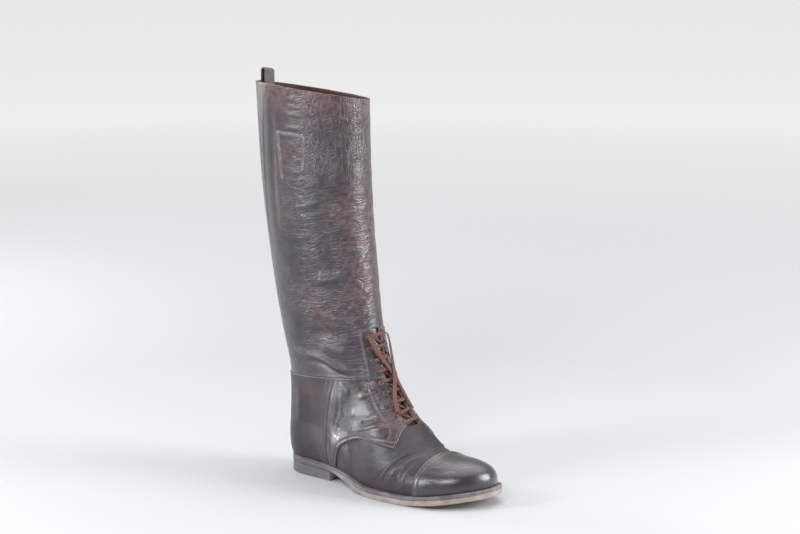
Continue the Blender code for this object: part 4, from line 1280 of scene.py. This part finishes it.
def build_tongue():
    """Tongue behind the throat: a band on the inside of the upper with soft waves across it."""
    ring = np.linspace(*TONGUE_RINGS, 60)[:, None]
    along, side = at_throat(ring, TONGUE_HALF * np.linspace(-1, 1, 33)[None, :])
    ring = np.broadcast_to(ring, along.shape)
    base = on_upper(ring, along, side)
    normals = outward(ring, along, side)
    wave = TONGUE_WAVE * waves(base.reshape(-1, 3), *TONGUE_WAVES).reshape(ring.shape)
    depth = (-(WALL + TONGUE_GAP) + np.minimum(wave, TONGUE_WAVE_MOST))[..., None]
    values = sheet_values(base, np.full(ring.size, NO_FACING))
    outside, inside = base + normals * depth, base + normals * (depth - TONGUE_THICK)
    shell("tongue_leather", outside, inside, normals, grid_faces(*ring.shape, False),
          [FOOT_LEATHER, CUT_EDGE, LINING], ("tongue",), values)


def bar_rings():
    """Rings of the eyelets, evenly spaced up the throat."""
    fine = np.linspace(*BAR_RINGS, 200)
    length = lengths_along(on_upper(fine, np.ones_like(fine), INNER))
    return np.interp(np.linspace(0, length[-1], BAR_COUNT), length, fine)


def resample(rows, count):
    """Rows read evenly from the smooth curve through the given rows."""
    numbers = np.arange(len(rows), dtype=float)
    at = np.linspace(0, len(rows) - 1, count)
    return np.stack([curve(at, numbers, column) for column in rows.T], axis=1)


def tape(path, width, thick):
    """Flat tape along rows of ring, y and lift: a rounded oblong |a|^n + |b|^n = 1 carried along the path."""
    along, side = at_throat(path[:, 0], path[:, 1])
    up = outward(path[:, 0], along, side)
    centre = on_upper(path[:, 0], along, side) + up * path[:, 2:]
    run = unit(np.gradient(centre, axis=0))
    across = unit(np.cross(up, run))
    up = np.cross(run, across)
    turn = np.linspace(0, 2 * np.pi, 12, endpoint=False)
    wide = np.sign(np.cos(turn)) * np.abs(np.cos(turn)) ** 0.5 * width / 2
    tall = np.sign(np.sin(turn)) * np.abs(np.sin(turn)) ** 0.7 * thick / 2
    points = centre[:, None] + across[:, None] * wide[None, :, None] + up[:, None] * tall[None, :, None]
    uv = np.stack(np.broadcast_arrays(lengths_along(centre)[:, None], wide[None, :]), axis=-1)
    faces = grid_faces(len(path), len(turn), True).reshape(-1, 4)
    lids = np.array([[0, 1, 2, 3], [0, 3, 4, 11], [4, 5, 10, 11], [5, 6, 9, 10], [6, 7, 8, 9]])
    faces = np.concatenate([faces[:, ::-1], lids, lids[:, ::-1] + (len(path) - 1) * len(turn)])
    return points.reshape(-1, 3), faces, uv.reshape(-1, 2), centre


def joined(parts):
    """Several meshes as one: points, faces moved on by the points before them, and UVs."""
    starts = np.cumsum([0] + [len(part[0]) for part in parts[:-1]])
    points = np.concatenate([part[0] for part in parts])
    faces = np.concatenate([part[1] + start for part, start in zip(parts, starts)])
    return points, faces, np.concatenate([part[2] for part in parts])


def build_lacing():
    """Bars over the throat that dive into the eyelets, and strands that climb behind them, as one piece."""
    dice = np.random.default_rng(4)
    rings = bar_rings()
    parts = []
    for number, ring in enumerate(rings):
        y = np.linspace(-BAR_HALF - BAR_PAST, BAR_HALF + BAR_PAST, 41)
        dive = DIVE_DEPTH * soft_step((np.abs(y) - BAR_HALF + DIVE_BEFORE) / DIVE_LENGTH)
        lift = LACE_LIFT - dive + BAR_WAVE * np.cos(y / BAR_WAVE_LENGTH + number)
        slant = (BAR_SLANT + dice.normal(0, BAR_SLANT_VARIES)) * y / BAR_HALF
        width = LACE_WIDTH * dice.uniform(*BAR_WIDTH_SHARES)
        parts.append(tape(np.stack([ring + slant, y, lift], axis=1), width, LACE_THICK))
    for low, high in zip(rings[:-1], rings[1:]):
        y = np.linspace(STRAND_HALF, -STRAND_HALF, 17)
        climb = np.linspace(low + STRAND_CLEAR, high - STRAND_CLEAR, 17)
        path = np.stack([climb, y, STRAND_LIFT - STRAND_SAG * (y / STRAND_HALF) ** 2], axis=1)
        parts.append(tape(path, LACE_WIDTH * STRAND_WIDTH, LACE_THICK * STRAND_THICK))
    points, faces, uv = joined(parts)
    add_piece("lacing", points, faces, [LACE], ("lace_bars",), uv=uv)


def build_lace_end(name, rows, node):
    """Free end of the lace from the top eyelet down over the bars."""
    points, faces, uv, centre = tape(resample(rows, 49), LACE_WIDTH, LACE_THICK)
    made = add_piece(name, points, faces, [LACE], (node,), uv=uv)


EYELET_RED, EYELET_WORN = 0.9, 0.3
EYELET = np.array([
    # radius, height
    [0.02, -0.5],
    [1.3, -0.5],
    [1.6, 0.15],
    [2.1, 0.5],
    [2.7, 0.4],
    [3.2, -0.3],
])


def build_eyelets():
    """Eyelets: a low rim turned round each lace hole, closed by a near-black disc as painted shade of the
    hole.
    """
    y = np.tile([-BAR_HALF, BAR_HALF], BAR_COUNT)
    rings = np.repeat(bar_rings(), 2) + BAR_SLANT * np.sign(y)
    along, side = at_throat(rings, y)
    up = outward(rings, along, side)
    base = on_upper(rings, along, side)
    lift = np.where(rings < ANKLE_RING, OVERLAY, 0.0) + relief(base)
    forward = unit(np.cross(up, [0.0, 0.0, 1.0]))
    other = np.cross(up, forward)
    turn = np.linspace(0, 2 * np.pi, 18, endpoint=False)
    spoke = np.cos(turn)[None, :, None] * forward[:, None] + np.sin(turn)[None, :, None] * other[:, None]
    points = (base + up * lift[:, None])[:, None, None] + EYELET[None, :, None, :1] * spoke[:, None]
    points = points + EYELET[None, :, None, 1:] * up[:, None, None]
    one = grid_faces(len(EYELET), len(turn), True).reshape(-1, 4)
    # The two inner bands take the painted shade of the hole, the rest the leather
    kinds = np.tile(np.repeat([0, 0, 1, 1, 1], len(turn)), len(rings))
    faces = (one[None] + (np.arange(len(rings)) * len(EYELET) * len(turn))[:, None, None]).reshape(-1, 4)
    points = points.reshape(-1, 3)
    values = {"red": np.full(len(points), EYELET_RED), "worn": np.full(len(points), EYELET_WORN)}
    add_piece("eyelets", points, faces, [PAINTED_HOLE_SHADE, FOOT_LEATHER], kinds=kinds, values=values)


# Pull loop

LOOP_HALF, LOOP_TO_OUTER_SIDE, LOOP_THICK = 10.0, 7.0, 1.8
LOOP_RISE, LOOP_DEPTH, LOOP_BEND, LOOP_GAP = 15.0, 38.0, 3.0, 0.6
# Share of the thickness left at the strap's edges, and how fast it grows from there
LOOP_EDGE, LOOP_EDGE_RISE = 0.45, 9.0


def build_pull_loop():
    """Strap up inside the back of the collar, over in a half circle and down again further in."""
    rise = LOOP_RISE - LOOP_BEND - LOOP_THICK / 2
    bend = np.linspace(0, np.pi, 19)
    leg = np.concatenate([np.linspace(-LOOP_DEPTH, -2.0, 20), np.linspace(0.0, rise * 0.95, 10)])
    inward = np.concatenate([0 * leg, LOOP_BEND * (1 - np.cos(bend)), 0 * leg + 2 * LOOP_BEND])
    height = np.concatenate([leg, rise + LOOP_BEND * np.sin(bend), leg[::-1]])
    width = np.linspace(-1, 1, 21)
    across = LOOP_HALF * width - LOOP_TO_OUTER_SIDE
    ring = np.interp(RINGS[-1, 1] + np.minimum(height, 0.0), FINE_BACK_Z, FINE)
    tries = np.linspace(0, 0.4, 200)
    wide = half_width(*ring_line(ring[:, None], tries[None, :]))
    along = np.array([np.interp(np.abs(across), row, tries) for row in wide])
    side = np.broadcast_to(np.where(across < 0, OUTER, INNER), along.shape)
    ring = np.broadcast_to(ring[:, None], along.shape)
    inset = WALL + LOOP_GAP + LOOP_THICK / 2
    middle = on_upper(ring, along, side) - inset * outward(ring, along, side)
    middle[..., 0] += inward[:, None]
    middle[..., 2] += np.maximum(height, 0.0)[:, None]
    normal = unit(np.cross(np.gradient(middle, axis=0), np.gradient(middle, axis=1)))
    thin = np.minimum(1.0, (1 - np.abs(width)) * LOOP_EDGE_RISE + LOOP_EDGE)
    half = normal * (LOOP_THICK / 2 * thin)[None, :, None]
    shell("pull_strap", middle + half, middle - half, normal, grid_faces(*middle.shape[:2], False),
          [STRAP, STRAP, STRAP], ("pull_loop",))


# Stage, light and camera

CAMERA_TURN, CAMERA_RISE = np.radians(43.0), np.radians(11.4)
CAMERA_AIM = (-0.0065, 0.00643, 0.2)
CAMERA_DISTANCE, CAMERA_FAR = 3.0, 50.0
PHOTO_WIDTH, PHOTO_HEIGHT = 800, 534
FOCAL_PIXELS = 2700.0
AIM_PIXEL = (376.0, 307.5)
SENSOR = 36.0
FLOOR_HALF, FLOOR_FADE = 20.0, (0.7, 3.2)
FLOOR_NEAR, FLOOR_FAR = (0.53, 0.527, 0.53), (0.93, 0.928, 0.93)
ROOM_STRENGTH = 0.32
DAYLIGHT, DAYLIGHT_WIDTH = 1.85, np.radians(70.0)
DAYLIGHT_LEAN = (np.radians(-14.0), np.radians(-6.0), 0.0)
WINDOW_COLOUR = (0.89, 0.95, 1.0)
QUARTER_SHINE = placed((98.0, -41.0, 78.0))
WINDOWS = (
    # name, degrees of turn from the camera and of rise, distance, width, height, power, aim, degrees of beam
    ("front_window", -19.0, 30.0, 1.8, 0.65, 0.2, 12.0, CAMERA_AIM, 180.0),
    ("left_window", -70.0, 19.0, 1.7, 0.5, 1.0, 18.0, CAMERA_AIM, 180.0),
    ("low_window", -92.0, 5.0, 0.9, 0.04, 0.25, 0.018, QUARTER_SHINE, 4.0),
    ("back_window", -128.0, 16.0, 1.7, 0.4, 1.0, 9.0, CAMERA_AIM, 180.0),
    ("right_window", 78.0, 16.0, 1.7, 0.85, 1.1, 31.0, CAMERA_AIM, 180.0),
)


def stand_round(made, aim, turn, rise, distance):
    """Put a camera or lamp at a turn and a rise round the aim, facing it."""
    back = Vector((np.sin(turn) * np.cos(rise), -np.cos(turn) * np.cos(rise), np.sin(rise)))
    made.location = Vector(aim) + distance * back
    made.rotation_euler = (-back).to_track_quat("-Z", "Y").to_euler()
    bpy.context.scene.collection.objects.link(made)


def build_camera():
    """Camera at the photograph's angle, shifted so that the aim point falls on its pixel."""
    data = bpy.data.cameras.new("camera")
    data.sensor_width = SENSOR
    data.lens = FOCAL_PIXELS / PHOTO_WIDTH * SENSOR
    data.shift_x = (PHOTO_WIDTH / 2 - AIM_PIXEL[0]) / PHOTO_WIDTH
    data.shift_y = (AIM_PIXEL[1] - PHOTO_HEIGHT / 2) / PHOTO_WIDTH
    data.clip_end = CAMERA_FAR
    made = bpy.data.objects.new("camera", data)
    stand_round(made, CAMERA_AIM, CAMERA_TURN, CAMERA_RISE, CAMERA_DISTANCE)
    bpy.context.scene.camera = made


def build_stage():
    """Wide plain pale floor, a little paler far from the boot, where less light falls."""
    mesh = bpy.data.meshes.new("floor")
    corners = FLOOR_HALF * np.array([[-1, -1, 0], [1, -1, 0], [1, 1, 0], [-1, 1, 0]])
    mesh.from_pydata(corners.tolist(), [], [[0, 1, 2, 3]])
    material, tree, shader = start_material("floor", 0.9)
    reach = add_node(tree, "ShaderNodeVectorMath", {0: stretched(tree)}, operation="LENGTH")
    colour = blend_colour(tree, spread(tree, reach.outputs["Value"], *FLOOR_FADE), FLOOR_NEAR, FLOOR_FAR)
    tree.links.new(colour, shader.inputs["Base Color"])
    mesh.materials.append(material)
    made = bpy.data.objects.new("floor", mesh)
    bpy.context.scene.collection.objects.link(made)


def add_window(name, turn, rise, distance, width, height, power, aim, beam):
    """Oval lamp that faces its aim, placed by its turn from the camera's side and its rise."""
    data = bpy.data.lights.new(name, "AREA")
    data.shape = "ELLIPSE"
    data.size = width
    data.size_y = height
    data.energy = power
    data.spread = np.radians(beam)
    data.color = WINDOW_COLOUR
    made = bpy.data.objects.new(name, data)
    made.visible_camera = False
    stand_round(made, aim, CAMERA_TURN + np.radians(turn), np.radians(rise), distance)


def build_lights():
    """Bright even room: wide soft daylight from above, oval windows round the boot and a low narrow beam."""
    world = bpy.data.worlds.new("room")
    world.use_nodes = True
    world.node_tree.nodes["Background"].inputs["Color"].default_value = (1.0, 1.0, 1.0, 1.0)
    world.node_tree.nodes["Background"].inputs["Strength"].default_value = ROOM_STRENGTH
    bpy.context.scene.world = world
    daylight = bpy.data.lights.new("daylight", "SUN")
    daylight.energy = DAYLIGHT
    daylight.angle = DAYLIGHT_WIDTH
    ceiling = bpy.data.objects.new("daylight", daylight)
    ceiling.rotation_euler = DAYLIGHT_LEAN
    bpy.context.scene.collection.objects.link(ceiling)
    for window in WINDOWS:
        add_window(*window)
    bpy.context.scene.view_settings.view_transform = "Standard"


build_camera()
build_lace_end("lace_end_outer", END_OUTER, "lace_end_lateral")
build_lace_end("lace_end_inner", END_INNER, "lace_end_medial")
build_leg()
build_vamp()
build_toe_cap()
build_counter()
build_quarter("quarter_outer", OUTER, "quarter_lateral")
build_quarter("quarter_inner", INNER, "quarter_medial")
build_stitches()
build_sole()
build_tongue()
build_lacing()
build_eyelets()
build_pull_loop()
build_stage()
build_lights()
